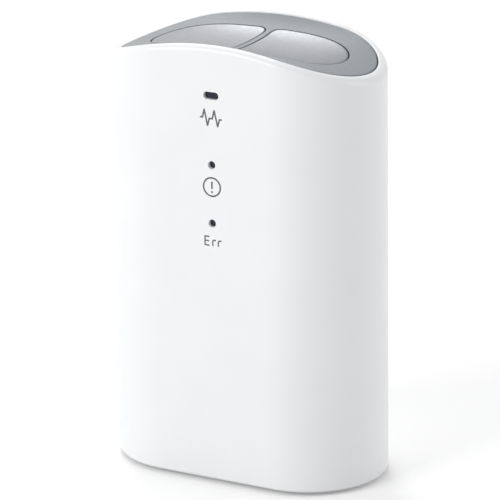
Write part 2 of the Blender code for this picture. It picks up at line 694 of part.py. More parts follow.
def make_main_board(board_material, chip_material, can_material, socket_material, screw_material):
    """The main circuit board with its screws, and the parts soldered to its back."""
    outline = rectangle(BOARD_WIDTH, BOARD_HIGH - BOARD_LOW, BOARD_CORNER)
    middle = (0, (BOARD_LOW + BOARD_HIGH) / 2)
    board = plate_y("main_board", outline, middle, (BOARD_Y, BOARD_BACK_Y), board_material)
    for name, x, z in board_holes():
        depth = BOARD_THICKNESS + CUT_OVERRUN
        cut(board, screw_bore(f"board_hole_{name}", (x, BOARD_Y, z), (0, 1, 0), depth))
        shank = BOARD_THICKNESS + 2 * SEAT_GAP + SCREW_BITE
        make_screw(f"board_screw_{name}", (x, BOARD_Y - SEAT_GAP, z), (0, 1, 0), shank, screw_material)
    back = BOARD_BACK_Y + SEAT_GAP
    square = rectangle(PROCESSOR_SIZE, PROCESSOR_SIZE, CHIP_EDGE)
    place = (-CHIP_OFFSET, board_z(PROCESSOR_SHARE))
    plate_y("processor_chip", square, place, (back, back + PROCESSOR_HEIGHT), chip_material)
    square = rectangle(AMPLIFIER_SIZE, AMPLIFIER_SIZE, CHIP_EDGE)
    place = (-CHIP_OFFSET, board_z(AMPLIFIER_SHARE))
    plate_y("amplifier_chip", square, place, (back, back + AMPLIFIER_HEIGHT), chip_material)
    can = rectangle(RADIO_WIDTH, RADIO_LENGTH, CHIP_EDGE)
    place = (CHIP_OFFSET, board_z(RADIO_SHARE))
    plate_y("radio_module", can, place, (back, back + RADIO_HEIGHT), can_material)
    place = (CHIP_OFFSET, back, board_z(BEEPER_SHARE))
    profile = [(BEEPER_RADIUS, 0), (BEEPER_RADIUS, BEEPER_HEIGHT)]
    beeper = lathe("beeper", profile, place, (0, 1, 0), chip_material, origin=place)
    port = [(SCREW_RADIUS, BEEPER_HEIGHT / 2), (SCREW_RADIUS, BEEPER_HEIGHT + CUT_OVERRUN)]
    cut(beeper, lathe("beeper_port_cutter", port, place, (0, 1, 0), steps=SMALL_STEPS))
    low = (-SOCKET_WIDTH / 2, back, FLEX_Z - SOCKET_LENGTH / 2)
    high = (SOCKET_WIDTH / 2, back + SOCKET_HEIGHT, FLEX_Z + SOCKET_LENGTH / 2)
    block("flex_socket", low, high, socket_material)


def make_leaf_contacts(material):
    """Bent spring leaves from the main board to the stems of the three electrodes."""
    foot_y = BOARD_BACK_Y + SEAT_GAP + LEAF_THICKNESS / 2
    for side, word in ((-1, "left"), (1, "right")):
        tip_z = STEM_END_Z - SEAT_GAP - LEAF_THICKNESS / 2
        path = [(foot_y, tip_z - LEAF_FOOT - LEAF_WIDTH), (foot_y, tip_z - LEAF_WIDTH / 2),
                (foot_y + LEAF_WIDTH / 2, tip_z), (STEM_Y + STEM_RADIUS, tip_z)]
        strip(f"finger_contact_{word}", path, LEAF_WIDTH, LEAF_THICKNESS, side * STEM_X, material)
    tip_z = CHEST_STEM_Z + SEAT_GAP + LEAF_THICKNESS / 2
    path = [(foot_y, BOARD_LOW + LEAF_FOOT), (foot_y, tip_z + LEAF_WIDTH / 2),
            (foot_y + LEAF_WIDTH / 2, tip_z), (STEM_Y + STEM_RADIUS, tip_z)]
    strip("chest_contact", path, LEAF_WIDTH, LEAF_THICKNESS, 0, material)


def make_frame(material):
    """The inner frame: a plate with the battery bay behind it, flanges, lugs and posts."""
    core_y = FRAME_Y + FRAME_THICKNESS / 2
    low = (-FRAME_HALF_WIDTH, FRAME_Y, min(FRAME_LOW, BAY_LOW - BAY_WALL))
    frame = block("inner_frame", low, (FRAME_HALF_WIDTH, FRAME_BACK_Y, FLANGE_HIGH), material)
    outside = BAY_HALF_WIDTH + BAY_WALL
    for side, word in ((-1, "left"), (1, "right")):
        low = (side * PANEL_BOSS_X - FLANGE_REACH, PANEL_BOSS_Y - FLANGE_REACH, FLANGE_LOW)
        high = (side * PANEL_BOSS_X + FLANGE_REACH, core_y, FLANGE_HIGH)
        join(frame, block(f"top_flange_{word}", low, high))
        near, far = sorted((side * BAY_HALF_WIDTH, side * outside))
        high = (far, BAY_SIDE_Y, BAY_HIGH + BAY_WALL)
        join(frame, block(f"bay_side_{word}", (near, core_y, BAY_LOW - BAY_WALL), high))
        inner = FRAME_HALF_WIDTH - FRAME_THICKNESS
        near, far = sorted((side * inner, side * (BASE_BOSS_X + FLANGE_REACH)))
        high = (far, core_y, FRAME_LOW + LUG_HEIGHT)
        join(frame, block(f"lug_{word}", (near, -FLANGE_REACH, FRAME_LOW), high))
        post = [(KEY_POST_RADIUS, core_y), (KEY_POST_RADIUS, KEY_BOARD_Y - KEY_BOARD_THICKNESS - SEAT_GAP)]
        across = side * (KEY_BOARD_WIDTH / 2 - KEY_POST_RADIUS)
        join(frame, lathe(f"key_post_{word}", post, (across, 0, KEY_Z), (0, 1, 0), steps=SMALL_STEPS))
    end_y = BATTERY_Y + BAY_END_REACH
    within = BAY_HALF_WIDTH + BAY_WALL / 2
    for word, low, high in (("low", BAY_LOW - BAY_WALL, BAY_LOW), ("high", BAY_HIGH, BAY_HIGH + BAY_WALL)):
        join(frame, block(f"bay_end_{word}", (-within, core_y, low), (within, end_y, high)))
    post_y = BOARD_BACK_Y + SEAT_GAP
    for name, x, z in board_holes():
        post = [(BOARD_POST_RADIUS, post_y), (BOARD_POST_RADIUS, core_y)]
        join(frame, lathe(f"board_post_{name}", post, (x, 0, z), (0, 1, 0)))
        cut(frame, screw_bore(f"post_bore_{name}", (x, post_y, z), (0, 1, 0), SCREW_BITE + SEAT_GAP))
    for side, word in ((-1, "left"), (1, "right")):
        mouth = (side * PANEL_BOSS_X, PANEL_BOSS_Y, FLANGE_LOW)
        cut(frame, screw_bore(f"flange_hole_{word}", mouth, (0, 0, 1), FLANGE_THICKNESS + CUT_OVERRUN))
        mouth = (side * BASE_BOSS_X, 0, FRAME_LOW)
        cut(frame, screw_bore(f"lug_bore_{word}", mouth, (0, 0, 1), SCREW_BITE + SEAT_GAP))
    slot = FLEX_WIDTH / 2 + SEAT_GAP
    low = (-slot, FRAME_Y - CUT_OVERRUN, FLEX_Z - FLEX_SLOT)
    cut(frame, block("flex_slot_cutter", low, (slot, FRAME_BACK_Y + CUT_OVERRUN, FLEX_Z + FLEX_SLOT)))
    return frame


def make_frame_screws(material):
    """Two screws up into the panel's bosses, and two up through the foot cover into the frame."""
    for side, word in ((-1, "left"), (1, "right")):
        shank = FLANGE_THICKNESS + 2 * SEAT_GAP + SCREW_BITE
        seat = (side * PANEL_BOSS_X, PANEL_BOSS_Y, FLANGE_LOW - SEAT_GAP)
        make_screw(f"panel_screw_{word}", seat, (0, 0, 1), shank, material)
        shank = BASE_BOSS_HEIGHT + 2 * SEAT_GAP + SCREW_BITE
        seat = (side * BASE_BOSS_X, 0, BASE_TOP_Z - SEAT_GAP)
        make_screw(f"base_screw_{word}", seat, (0, 0, 1), shank, material)


def make_battery(name, x, low, upright, material):
    """A small cylindrical cell with crimped edges and a nub at its positive end."""
    shoulder = BATTERY_LENGTH - NUB_HEIGHT
    profile = [(BATTERY_RADIUS - CRIMP, 0), (BATTERY_RADIUS, CRIMP), (BATTERY_RADIUS, shoulder - CRIMP),
               (BATTERY_RADIUS - CRIMP, shoulder), (NUB_RADIUS, shoulder), (NUB_RADIUS, BATTERY_LENGTH)]
    if not upright:
        profile = [(radius, BATTERY_LENGTH - along) for radius, along in reversed(profile)]
    place = (x, BATTERY_Y, low)
    return lathe(name, profile, place, (0, 0, 1), material, origin=place)


def make_spring(name, x, low, wide_end_up, material):
    """A conical contact spring of round wire, as one bevelled curve."""
    curve = bpy.data.curves.new(name, "CURVE")
    curve.dimensions = "3D"
    curve.bevel_depth = SPRING_WIRE / 2
    curve.bevel_resolution = 1
    curve.use_fill_caps = True
    spline = curve.splines.new("POLY")
    steps = SPRING_TURNS * SPRING_STEPS
    spline.points.add(steps)
    for step in range(steps + 1):
        share = step / steps
        angle = 2 * math.pi * SPRING_TURNS * share
        narrowing = share if not wide_end_up else 1 - share
        radius = SPRING_RADIUS - SPRING_WIRE * narrowing
        rise = SPRING_WIRE / 2 + (SPRING_HEIGHT - SPRING_WIRE) * share
        spline.points[step].co = (radius * math.cos(angle), radius * math.sin(angle), rise, 1)
    curve.materials.append(material)
    spring = bpy.data.objects.new(name, curve)
    bpy.context.scene.collection.objects.link(spring)
    spring.location = (x, BATTERY_Y, low)
    return spring


def make_power(cell_material, steel):
    """Two batteries head to tail, with a spring and a plate at the ends of each."""
    spring_low = BAY_LOW + PLATE_STEP
    cell_low = spring_low + SPRING_HEIGHT + SEAT_GAP
    make_battery("battery_left", -BATTERY_X, cell_low, True, cell_material)
    make_battery("battery_right", BATTERY_X, BAY_LOW + PLATE_STEP, False, cell_material)
    make_spring("battery_spring_lower", -BATTERY_X, spring_low, False, steel)
    make_spring("battery_spring_upper", BATTERY_X, BAY_HIGH - PLATE_STEP - SPRING_HEIGHT, True, steel)
    half = CONTACT_WIDTH / 2
    low_z = BAY_LOW + SEAT_GAP
    high = (BATTERY_X + half, BATTERY_Y + half, low_z + CONTACT_THICKNESS)
    block("battery_bridge", (-BATTERY_X - half, BATTERY_Y - half, low_z), high, steel)
    high_z = BAY_HIGH - SEAT_GAP
    for side, word in ((-1, "plus"), (1, "minus")):
        across = side * BATTERY_X
        low = (across - half, BATTERY_Y - half, high_z - CONTACT_THICKNESS)
        block(f"battery_plate_{word}", low, (across + half, BATTERY_Y + half, high_z), steel)


def make_door(material):
    """The battery door on its hinge line: a plate flush with the back, two hook tabs and a latch rib."""
    hinge = bpy.data.objects.new("battery_door_hinge", None)
    bpy.context.scene.collection.objects.link(hinge)
    hinge.location = HINGE
    size = (2 * (BAY_HALF_WIDTH - RUNNING_GAP), BAY_HIGH - BAY_LOW - 2 * RUNNING_GAP)
    outline = [(x, z + (BAY_LOW + BAY_HIGH) / 2) for x, z in rectangle(*size, DOOR_CORNER)]
    rings = [[(x, out + draft_at(z), z) for x, z in outline] for out in (INNER_DEPTH, HALF_DEPTH)]
    door = loft("battery_door", rings, material, HINGE)
    door.parent = hinge
    door.location = (0, 0, 0)
    outer_y = INNER_DEPTH - SEAT_GAP
    inner_y = outer_y - TAB_THICKNESS
    root_z = BAY_LOW + RUNNING_GAP + DOOR_CORNER
    hook = [(inner_y, BAY_LOW - TAB_HOOK), (outer_y, BAY_LOW - TAB_HOOK), (outer_y, root_z),
            (INNER_DEPTH + WALL / 2, root_z), (INNER_DEPTH + WALL / 2, root_z + TAB_ROOT),
            (inner_y, root_z + TAB_ROOT)]
    for side, word in ((-1, "left"), (1, "right")):
        faces = [side * TAB_OFFSET + edge * TAB_WIDTH / 2 for edge in (-1, 1)]
        join(door, loft(f"door_tab_{word}", [[(x, y, z) for y, z in hook] for x in faces]))
    top_z = BAY_HIGH - 2 * RUNNING_GAP
    low = (-LATCH_WIDTH / 2, INNER_DEPTH - BATTERY_COVER_GAP + SEAT_GAP, top_z - LATCH_HEIGHT)
    join(door, block("door_latch", low, (LATCH_WIDTH / 2, INNER_DEPTH + WALL / 2, top_z)))
    notch_z = BAY_HIGH - THUMB_DROP
    notch_y = HALF_DEPTH + draft_at(notch_z) + THUMB_RADIUS - THUMB_DEPTH
    notch = [(THUMB_RADIUS, -THUMB_WIDTH / 2), (THUMB_RADIUS, THUMB_WIDTH / 2)]
    cut(door, lathe("thumb_cutter", notch, (0, notch_y, notch_z), (1, 0, 0)))
    return door


def make_start_button(button_material, rubber, chip_material, board_material, flex_material):
    """The start button with its gasket, the switch that it presses, and the small board behind it."""
    slide = bpy.data.objects.new("start_button_slide", None)
    bpy.context.scene.collection.objects.link(slide)
    place = Vector((0, KEY_WALL_Y, KEY_Z))
    slide.location = place
    top = KEY_WALL_Y + BUTTON_PROUD
    rim = BUTTON_RADIUS + BUTTON_FLANGE
    flange_back = BUTTON_FLANGE_Y - BUTTON_FLANGE_THICKNESS
    rounding = BUTTON_EDGE * BUTTON_ROUND_SHARE
    profile = [(POST_RADIUS, POST_END_Y), (POST_RADIUS, flange_back), (rim, flange_back),
               (rim, BUTTON_FLANGE_Y), (BUTTON_RADIUS, BUTTON_FLANGE_Y), (BUTTON_RADIUS, top - BUTTON_EDGE),
               (BUTTON_RADIUS - rounding, top - rounding), (BUTTON_RADIUS - BUTTON_EDGE, top)]
    profile += [(BUTTON_RADIUS * out, top - BUTTON_DISH * down) for out, down in BUTTON_DISH_SHARES]
    button = lathe("start_button", profile, (0, 0, KEY_Z), (0, 1, 0), button_material, origin=place)
    profile = [(PLUNGER_RADIUS, SWITCH_Y - PLUNGER_SUNK), (PLUNGER_RADIUS, PLUNGER_Y)]
    plunger = lathe("switch_plunger", profile, (0, 0, KEY_Z), (0, 1, 0), chip_material, origin=place)
    for piece in (button, plunger):
        piece.parent = slide
        piece.location = (0, 0, 0)
    inner = BUTTON_RADIUS + RUNNING_GAP
    outer = inner + GASKET_WIDTH
    back = GASKET_Y - GASKET_THICKNESS
    profile = [(inner, back), (outer, back), (outer, GASKET_Y), (inner, GASKET_Y)]
    turned_ring("button_gasket", profile, (0, 0, KEY_Z), rubber)
    base = SWITCH_Y - SWITCH_HEIGHT
    square = rectangle(SWITCH_SIZE, SWITCH_SIZE, BUTTON_EDGE)
    switch = plate_y("key_switch", square, (0, KEY_Z), (base, SWITCH_Y), chip_material)
    bore = PLUNGER_RADIUS + RUNNING_GAP
    profile = [(bore, SWITCH_Y - SWITCH_BORE_DEPTH), (bore, SWITCH_Y + CUT_OVERRUN)]
    cut(switch, lathe("switch_bore_cutter", profile, (0, 0, KEY_Z), (0, 1, 0)))
    board_front = KEY_BOARD_Y - KEY_BOARD_THICKNESS
    square = rectangle(KEY_BOARD_WIDTH, KEY_BOARD_HEIGHT, BUTTON_EDGE)
    plate_y("key_board", square, (0, KEY_Z), (board_front, KEY_BOARD_Y), board_material)
    start_y = BOARD_BACK_Y + 2 * SEAT_GAP + SOCKET_HEIGHT
    end_y = board_front - SEAT_GAP - FLEX_THICKNESS / 2
    path = [(start_y, FLEX_Z)]
    for step in range(CORNER_STEPS + 1):
        angle = math.pi / 2 * step / CORNER_STEPS
        along = FLEX_BEND * (1 - math.sin(angle))
        path.append((end_y - along, FLEX_Z - FLEX_BEND * (1 - math.cos(angle))))
    path.append((end_y, KEY_Z + KEY_BOARD_HEIGHT / 2 - LEAF_WIDTH))
    strip("key_flex", path, FLEX_WIDTH, FLEX_THICKNESS, 0, flex_material)


def turned_ring(name, profile, centre, material):
    """A closed ring about the Y axis through a centre, from a profile of radius and depth."""
    rings = []
    for radius, along in profile:
        ring = []
        for step in range(ROUND_STEPS):
            angle = 2 * math.pi * step / ROUND_STEPS
            ring.append((centre[0] + radius * math.cos(angle), along, centre[2] + radius * math.sin(angle)))
        rings.append(ring)
    return loft(name, rings, material, (centre[0], profile[0][1], centre[2]), looped=True)


def build():
    clear_scene()
    white = finish("white_plastic", (0.90, 0.90, 0.91), 0.32)
    grey = finish("grey_plastic", (0.33, 0.36, 0.38), 0.45)
    steel = finish("satin_steel", (0.66, 0.68, 0.71), 0.30, 1.0)
    smoked = finish("smoked_lens", (0.02, 0.02, 0.045), 0.15)
    frame_plastic = finish("frame_plastic", (0.62, 0.63, 0.62), 0.55)
    green = finish("board_laminate", (0.03, 0.20, 0.09), 0.45)
    black = finish("chip_black", (0.03, 0.03, 0.03), 0.5)
    amber = finish("lamp_clear", (0.75, 0.72, 0.60), 0.25)
    ivory = finish("socket_ivory", (0.72, 0.69, 0.60), 0.5)
    rubber = finish("gasket_rubber", (0.05, 0.05, 0.05), 0.8)
    copper = finish("flex_film", (0.45, 0.22, 0.06), 0.4)
    cell = finish("battery_wrap", (0.10, 0.12, 0.16), 0.35)
    zinc = finish("screw_zinc", (0.55, 0.56, 0.58), 0.35, 1.0)
    make_sleeve(white)
    make_panel(grey)
    for side, word in ((-1, "left"), (1, "right")):
        make_finger_electrode(side, word, steel)
    make_base(grey)
    make_chest_electrode(steel)
    make_front_stack(smoked, black, amber)
    make_frame(frame_plastic)
    make_frame_screws(zinc)
    make_main_board(green, black, zinc, ivory, zinc)
    make_leaf_contacts(steel)
    make_power(cell, steel)
    make_door(white)
    make_start_button(grey, rubber, black, green, copper)


build()
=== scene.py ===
# %% [markdown]
# # A pocket heart rhythm monitor
#
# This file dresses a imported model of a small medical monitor. The real thing is a seamless white
# sleeve that stands on a steel plate. Its top is closed by a grey saddle with two steel finger
# plates, and three tiny windows on the front let its lights through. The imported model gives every
# piece its size and place. Here the pieces that show get a finer mesh, and all of them get a finish.
#
# The first step loads that model. Nothing in it is moved: new pieces are fitted to it.

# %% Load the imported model
import math

import bmesh
import bpy
from mathutils import Matrix, Vector


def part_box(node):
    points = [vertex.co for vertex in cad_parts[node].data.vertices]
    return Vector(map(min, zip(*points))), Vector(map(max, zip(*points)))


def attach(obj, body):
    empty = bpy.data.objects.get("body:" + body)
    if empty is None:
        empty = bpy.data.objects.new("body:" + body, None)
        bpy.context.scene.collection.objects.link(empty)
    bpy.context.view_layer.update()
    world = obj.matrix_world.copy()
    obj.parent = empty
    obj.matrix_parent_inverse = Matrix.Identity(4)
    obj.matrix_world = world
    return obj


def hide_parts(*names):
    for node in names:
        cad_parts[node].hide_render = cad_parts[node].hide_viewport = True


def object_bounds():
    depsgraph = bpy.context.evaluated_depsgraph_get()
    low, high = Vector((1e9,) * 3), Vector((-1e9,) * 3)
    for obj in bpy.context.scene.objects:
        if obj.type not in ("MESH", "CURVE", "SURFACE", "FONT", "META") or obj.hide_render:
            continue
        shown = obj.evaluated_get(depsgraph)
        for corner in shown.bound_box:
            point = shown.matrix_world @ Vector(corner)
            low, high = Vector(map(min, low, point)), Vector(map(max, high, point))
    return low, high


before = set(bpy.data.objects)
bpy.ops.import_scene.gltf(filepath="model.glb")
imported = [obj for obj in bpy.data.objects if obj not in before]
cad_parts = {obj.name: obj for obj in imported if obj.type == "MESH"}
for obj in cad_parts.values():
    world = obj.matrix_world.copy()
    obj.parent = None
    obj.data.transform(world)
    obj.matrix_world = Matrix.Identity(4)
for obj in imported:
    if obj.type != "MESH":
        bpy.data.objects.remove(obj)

MM = 1000
cad_low, cad_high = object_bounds()
cad_size = [round(MM * side, 2) for side in cad_high - cad_low]
print("Nodes:", len(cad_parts), "box in mm:", cad_size)

# %% [markdown]
# ## The camera and the light
#
# The photograph was taken with a long lens, a little above the object and to its right. A camera
# is easiest to place by the angle that it looks from: a direction away from the object, a distance
# along it, and small shifts that frame the picture. The tiny roll is the tilt of the real camera.

# %% Camera
TARGET = Vector((0, 0, 0.0508))
CAMERA_AZIMUTH = math.radians(28.4415)
CAMERA_ELEVATION = math.radians(18.1336)
CAMERA_ROLL = math.radians(-0.5649)
CAMERA_DISTANCE = 0.845502
FRAME_RIGHT = -0.00026
FRAME_UP = -0.00079
LENS = 270.28

turn = Matrix.Rotation(CAMERA_AZIMUTH, 4, "Z") @ Matrix.Rotation(math.pi / 2 - CAMERA_ELEVATION, 4, "X")
place = Matrix.Translation((FRAME_RIGHT, FRAME_UP, CAMERA_DISTANCE))
bpy.ops.object.camera_add()
camera = bpy.context.object
camera.data.lens = LENS
camera.matrix_world = Matrix.Translation(TARGET) @ turn @ place @ Matrix.Rotation(CAMERA_ROLL, 4, "Z")
bpy.context.scene.camera = camera
bpy.context.scene.view_settings.view_transform = "Standard"
print("Camera at", [round(value, 3) for value in camera.matrix_world.translation])

# %% [markdown]
# White plastic shows its form only through small steps of grey, so the lamps are large and soft.
# The brightest one stands in front and to the left, a weaker one behind and to the right. Between
# them the rounded end has its darkest band, which is what makes it look round. A third one behind
# and above is placed where the far edges of the steel plates mirror it, and a fourth one, higher
# still, lights the lip.

# %% Lamps
LAMP_AIM = Vector((0, 0, 0.05))
LAMP_DISTANCE = 1.2
# Each lamp has its azimuth and elevation in degrees, its size in metres and its power in watts.
LAMPS = {"key_lamp": (-28, 22, 0.7, 7.7), "rim_lamp": (112, 20, 0.7, 3.9),
         "plate_lamp": (216, 40, 0.45, 3.2), "sky_lamp": (238, 65, 0.8, 3.3)}


def add_lamp(name, azimuth, elevation, size, power):
    """A square soft lamp that faces the object, placed by the angles from which it shines."""
    azimuth, elevation = math.radians(azimuth), math.radians(elevation)
    level = math.cos(elevation)
    away = Vector((math.sin(azimuth) * level, -math.cos(azimuth) * level, math.sin(elevation)))
    bpy.ops.object.light_add(type="AREA", location=LAMP_AIM + away * LAMP_DISTANCE)
    lamp = bpy.context.object
    lamp.name = name
    lamp.rotation_euler = away.to_track_quat("Z", "Y").to_euler()
    lamp.data.size = size
    lamp.data.energy = power
    print("Lamp", name, "of", power, "W")


for lamp_name, values in LAMPS.items():
    add_lamp(lamp_name, *values)

# %% [markdown]
# The world fills the shadows evenly. What the camera sees past the floor is plain white, and so is
# what steel and glass reflect: the Light Path node tells those rays from the ones that light things.
# The floor is a pale sheet that keeps the object's soft shadow.

# %% World and floor
WORLD_LEVEL = 0.4
FLOOR_SIZE = 6.0
FLOOR_DROP = 0.0001
FLOOR_COLOUR = (0.86, 0.86, 0.86, 1)
FLOOR_LIFT = 0.22
FILL_COLOUR = (0.985, 0.99, 1, 1)
WHITE = (1, 1, 1, 1)


def seen_directly(nodes, links):
    """Adds nodes that give 1 for camera, mirror and glass rays, and 0 for the rest."""
    path = nodes.new("ShaderNodeLightPath")
    seen = path.outputs["Is Camera Ray"]
    for ray in ("Is Glossy Ray", "Is Transmission Ray"):
        either = nodes.new("ShaderNodeMath")
        either.operation = "MAXIMUM"
        links.new(seen, either.inputs[0])
        links.new(path.outputs[ray], either.inputs[1])
        seen = either.outputs[0]
    return seen


world = bpy.data.worlds.new("studio")
world.use_nodes = True
bpy.context.scene.world = world
nodes, links = world.node_tree.nodes, world.node_tree.links
fill = nodes["Background"]
fill.inputs["Color"].default_value = FILL_COLOUR
fill.inputs["Strength"].default_value = WORLD_LEVEL
backdrop = nodes.new("ShaderNodeBackground")
backdrop.inputs["Color"].default_value = WHITE
mix = nodes.new("ShaderNodeMixShader")
links.new(seen_directly(nodes, links), mix.inputs["Fac"])
links.new(fill.outputs[0], mix.inputs[1])
links.new(backdrop.outputs[0], mix.inputs[2])
links.new(mix.outputs[0], nodes["World Output"].inputs["Surface"])

bpy.ops.mesh.primitive_plane_add(size=FLOOR_SIZE, location=(0, 0, -FLOOR_DROP))
floor = bpy.context.object
floor.name = "floor"
paper = bpy.data.materials.new("floor_paper")
paper.use_nodes = True
nodes, links = paper.node_tree.nodes, paper.node_tree.links
nodes.clear()
sheet = nodes.new("ShaderNodeBsdfDiffuse")
sheet.inputs["Color"].default_value = FLOOR_COLOUR
glow = nodes.new("ShaderNodeEmission")
lift = nodes.new("ShaderNodeMath")
lift.operation = "MULTIPLY"
lift.inputs[1].default_value = FLOOR_LIFT
links.new(seen_directly(nodes, links), lift.inputs[0])
links.new(lift.outputs[0], glow.inputs["Strength"])
both = nodes.new("ShaderNodeAddShader")
links.new(sheet.outputs[0], both.inputs[0])
links.new(glow.outputs[0], both.inputs[1])
links.new(both.outputs[0], nodes.new("ShaderNodeOutputMaterial").inputs["Surface"])
floor.data.materials.append(paper)
print("Floor of", FLOOR_SIZE, "m")

# %% [markdown]
# ## Finishes
#
# Every finish starts as one Principled shader and gets its life from small changes over the
# surface: a slow drift of the colour, a roughness that isn't quite even, and a grain that only the
# highlights show. All patterns read Object coordinates, which are metres here, so a noise scale of
# 1000 means spots of about a millimetre.

# %% Shader, coordinates and grain
def start_finish(name, colour, roughness, metallic=0.0):
    """A material with one Principled shader, its even values set on the shader itself."""
    made = bpy.data.materials.new(name)
    made.use_nodes = True
    shader = made.node_tree.nodes["Principled BSDF"]
    shader.inputs["Base Color"].default_value = (*colour, 1)
    shader.inputs["Roughness"].default_value = roughness
    shader.inputs["Metallic"].default_value = metallic
    return made


def object_place(made, stretch=(1, 1, 1)):
    """Object coordinates, stretched along the axes."""
    tree = made.node_tree
    coordinates = tree.nodes.new("ShaderNodeTexCoord")
    mapping = tree.nodes.new("ShaderNodeMapping")
    mapping.inputs["Scale"].default_value = stretch
    tree.links.new(coordinates.outputs["Object"], mapping.inputs["Vector"])
    return mapping.outputs["Vector"]


def grain(made, spots_per_metre, detail=2.0, stretch=(1, 1, 1)):
    """Noise from 0 to 1 over the surface."""
    tree = made.node_tree
    noise = tree.nodes.new("ShaderNodeTexNoise")
    noise.inputs["Scale"].default_value = spots_per_metre
    noise.inputs["Detail"].default_value = detail
    tree.links.new(object_place(made, stretch), noise.inputs["Vector"])
    return noise.outputs["Fac"]


print("Helpers for a shader, its coordinates and its grain are ready")

# %% [markdown]
# A grain is only a number from 0 to 1. A colour ramp turns it into a colour, Map Range turns it into
# a roughness, and Bump turns it into a height. Noise seldom leaves the range from 0.3 to 0.7, so both
# ends of what it drives are reached there.

# %% Colour, roughness and bump
LOW_STOP, HIGH_STOP = 0.3, 0.7


def between(made, share, stops, interpolation="LINEAR"):
    """A colour ramp through (share, colour) stops."""
    tree = made.node_tree
    ramp = tree.nodes.new("ShaderNodeValToRGB")
    ramp.color_ramp.interpolation = interpolation
    elements = ramp.color_ramp.elements
    while len(elements) < len(stops):
        elements.new(1.0)
    for element, (position, colour) in zip(elements, stops):
        element.position = position
        element.color = (*colour, 1)
    tree.links.new(share, ramp.inputs["Fac"])
    return ramp.outputs["Color"]


def spread(made, share, low, high):
    """A number that moves from low to high as the share goes from one stop to the other."""
    tree = made.node_tree
    span = tree.nodes.new("ShaderNodeMapRange")
    ends = {"From Min": LOW_STOP, "From Max": HIGH_STOP, "To Min": low, "To Max": high}
    for name, value in ends.items():
        span.inputs[name].default_value = value
    tree.links.new(share, span.inputs["Value"])
    return span.outputs["Result"]


def paint(made, colour):
    """Gives the shader its colour."""
    made.node_tree.links.new(colour, made.node_tree.nodes["Principled BSDF"].inputs["Base Color"])


def polish(made, roughness):
    """Gives the shader its roughness."""
    made.node_tree.links.new(roughness, made.node_tree.nodes["Principled BSDF"].inputs["Roughness"])


def emboss(made, height, depth, strength=1.0):
    """Bump from a height between 0 and 1 that stands for depth in metres."""
    tree = made.node_tree
    bump = tree.nodes.new("ShaderNodeBump")
    bump.inputs["Strength"].default_value = strength
    bump.inputs["Distance"].default_value = depth
    tree.links.new(height, bump.inputs["Height"])
    tree.links.new(bump.outputs["Normal"], tree.nodes["Principled BSDF"].inputs["Normal"])


print("Helpers for colour, roughness and bump are ready")

# %% [markdown]
# Most finishes are built alike: a colour between two tones, a roughness between two values and a
# fine bump, each following a grain. So one function makes them, and each finish is one call with its
# own values. A grain is spots per metre, detail, and for drawn or flowing surfaces a stretch.

# %% A finish from grains
def make_finish(name, colour, roughness, drift, tones, dull, depth, strength,
                dull_drift=None, bump_drift=None, low_stop=LOW_STOP, metallic=0.0):
    """Roughness and bump follow the colour's grain where they have none of their own."""
    made = start_finish(name, colour, roughness, metallic)
    share = grain(made, *drift)
    paint(made, between(made, share, [(low_stop, tones[0]), (HIGH_STOP, tones[1])]))
    polish(made, spread(made, grain(made, *dull_drift) if dull_drift else share, *dull))
    emboss(made, grain(made, *bump_drift) if bump_drift else share, depth, strength)
    print("Finish", name)
    return made


print("One function for most finishes is ready")

# %% [markdown]
# The sleeve is injection moulded in white plastic with a silky surface. Its colour hardly drifts,
# but its roughness does, and a very fine orange peel keeps the highlights soft. The grey parts come
# from a mould with a sparked surface: a coarser, even grain that scatters the light.

# %% Plastics
SPECK_STOP = 0.35
white_plastic = make_finish(
    "white_plastic", (0.86, 0.865, 0.88), 0.34, drift=(60, 3),
    tones=((0.855, 0.86, 0.875), (0.875, 0.88, 0.893)), dull=(0.30, 0.38), dull_drift=(900, 3),
    depth=0.000003, strength=0.5, bump_drift=(7000, 2))
grey_plastic = make_finish(
    "grey_plastic", (0.255, 0.273, 0.288), 0.5, drift=(3200, 3),
    tones=((0.235, 0.253, 0.27), (0.275, 0.293, 0.31)), dull=(0.46, 0.58), dull_drift=(1500, 2),
    depth=0.000012, strength=0.6, bump_drift=(5200, 3))
frame_plastic = make_finish(
    "frame_plastic", (0.62, 0.63, 0.62), 0.55, drift=(120, 4, (1, 1, 0.2)),
    tones=((0.58, 0.59, 0.58), (0.66, 0.67, 0.66)), dull=(0.48, 0.62), dull_drift=(1200, 3),
    depth=0.00001, strength=0.4, bump_drift=(3000, 2))
black_plastic = make_finish(
    "black_plastic", (0.03, 0.03, 0.032), 0.5, drift=(2600, 4), low_stop=SPECK_STOP,
    tones=((0.022, 0.022, 0.024), (0.05, 0.05, 0.052)), dull=(0.42, 0.62),
    depth=0.00001, strength=0.5, bump_drift=(6000, 2))

# %% [markdown]
# The finger plates and the plate under the foot are stainless steel, blasted with fine beads. The
# beads leave small round dents all over, so the steel mirrors only soft blurs, and the blur itself
# is a little cloudy. The small hardware inside is plated steel, brighter and drawn along its length.

# %% Metals
electrode_steel = make_finish(
    "electrode_steel", (0.195, 0.201, 0.212), 0.36, metallic=1.0, drift=(900, 5),
    tones=((0.184, 0.19, 0.2), (0.206, 0.212, 0.222)), dull=(0.33, 0.43), dull_drift=(2200, 4),
    depth=0.000008, strength=0.5, bump_drift=(4200, 3))
plated_steel = make_finish(
    "plated_steel", (0.62, 0.63, 0.65), 0.3, metallic=1.0, drift=(2500, 3, (1, 1, 0.08)),
    tones=((0.55, 0.56, 0.58), (0.68, 0.69, 0.70)), dull=(0.22, 0.42), depth=0.000006, strength=0.4)

# %% [markdown]
# The windows are smoked plastic, nearly black with a hint of navy. Behind them are clear lamps.
# The print on the front is a thin film of grey ink, a touch uneven where the screen laid it down.

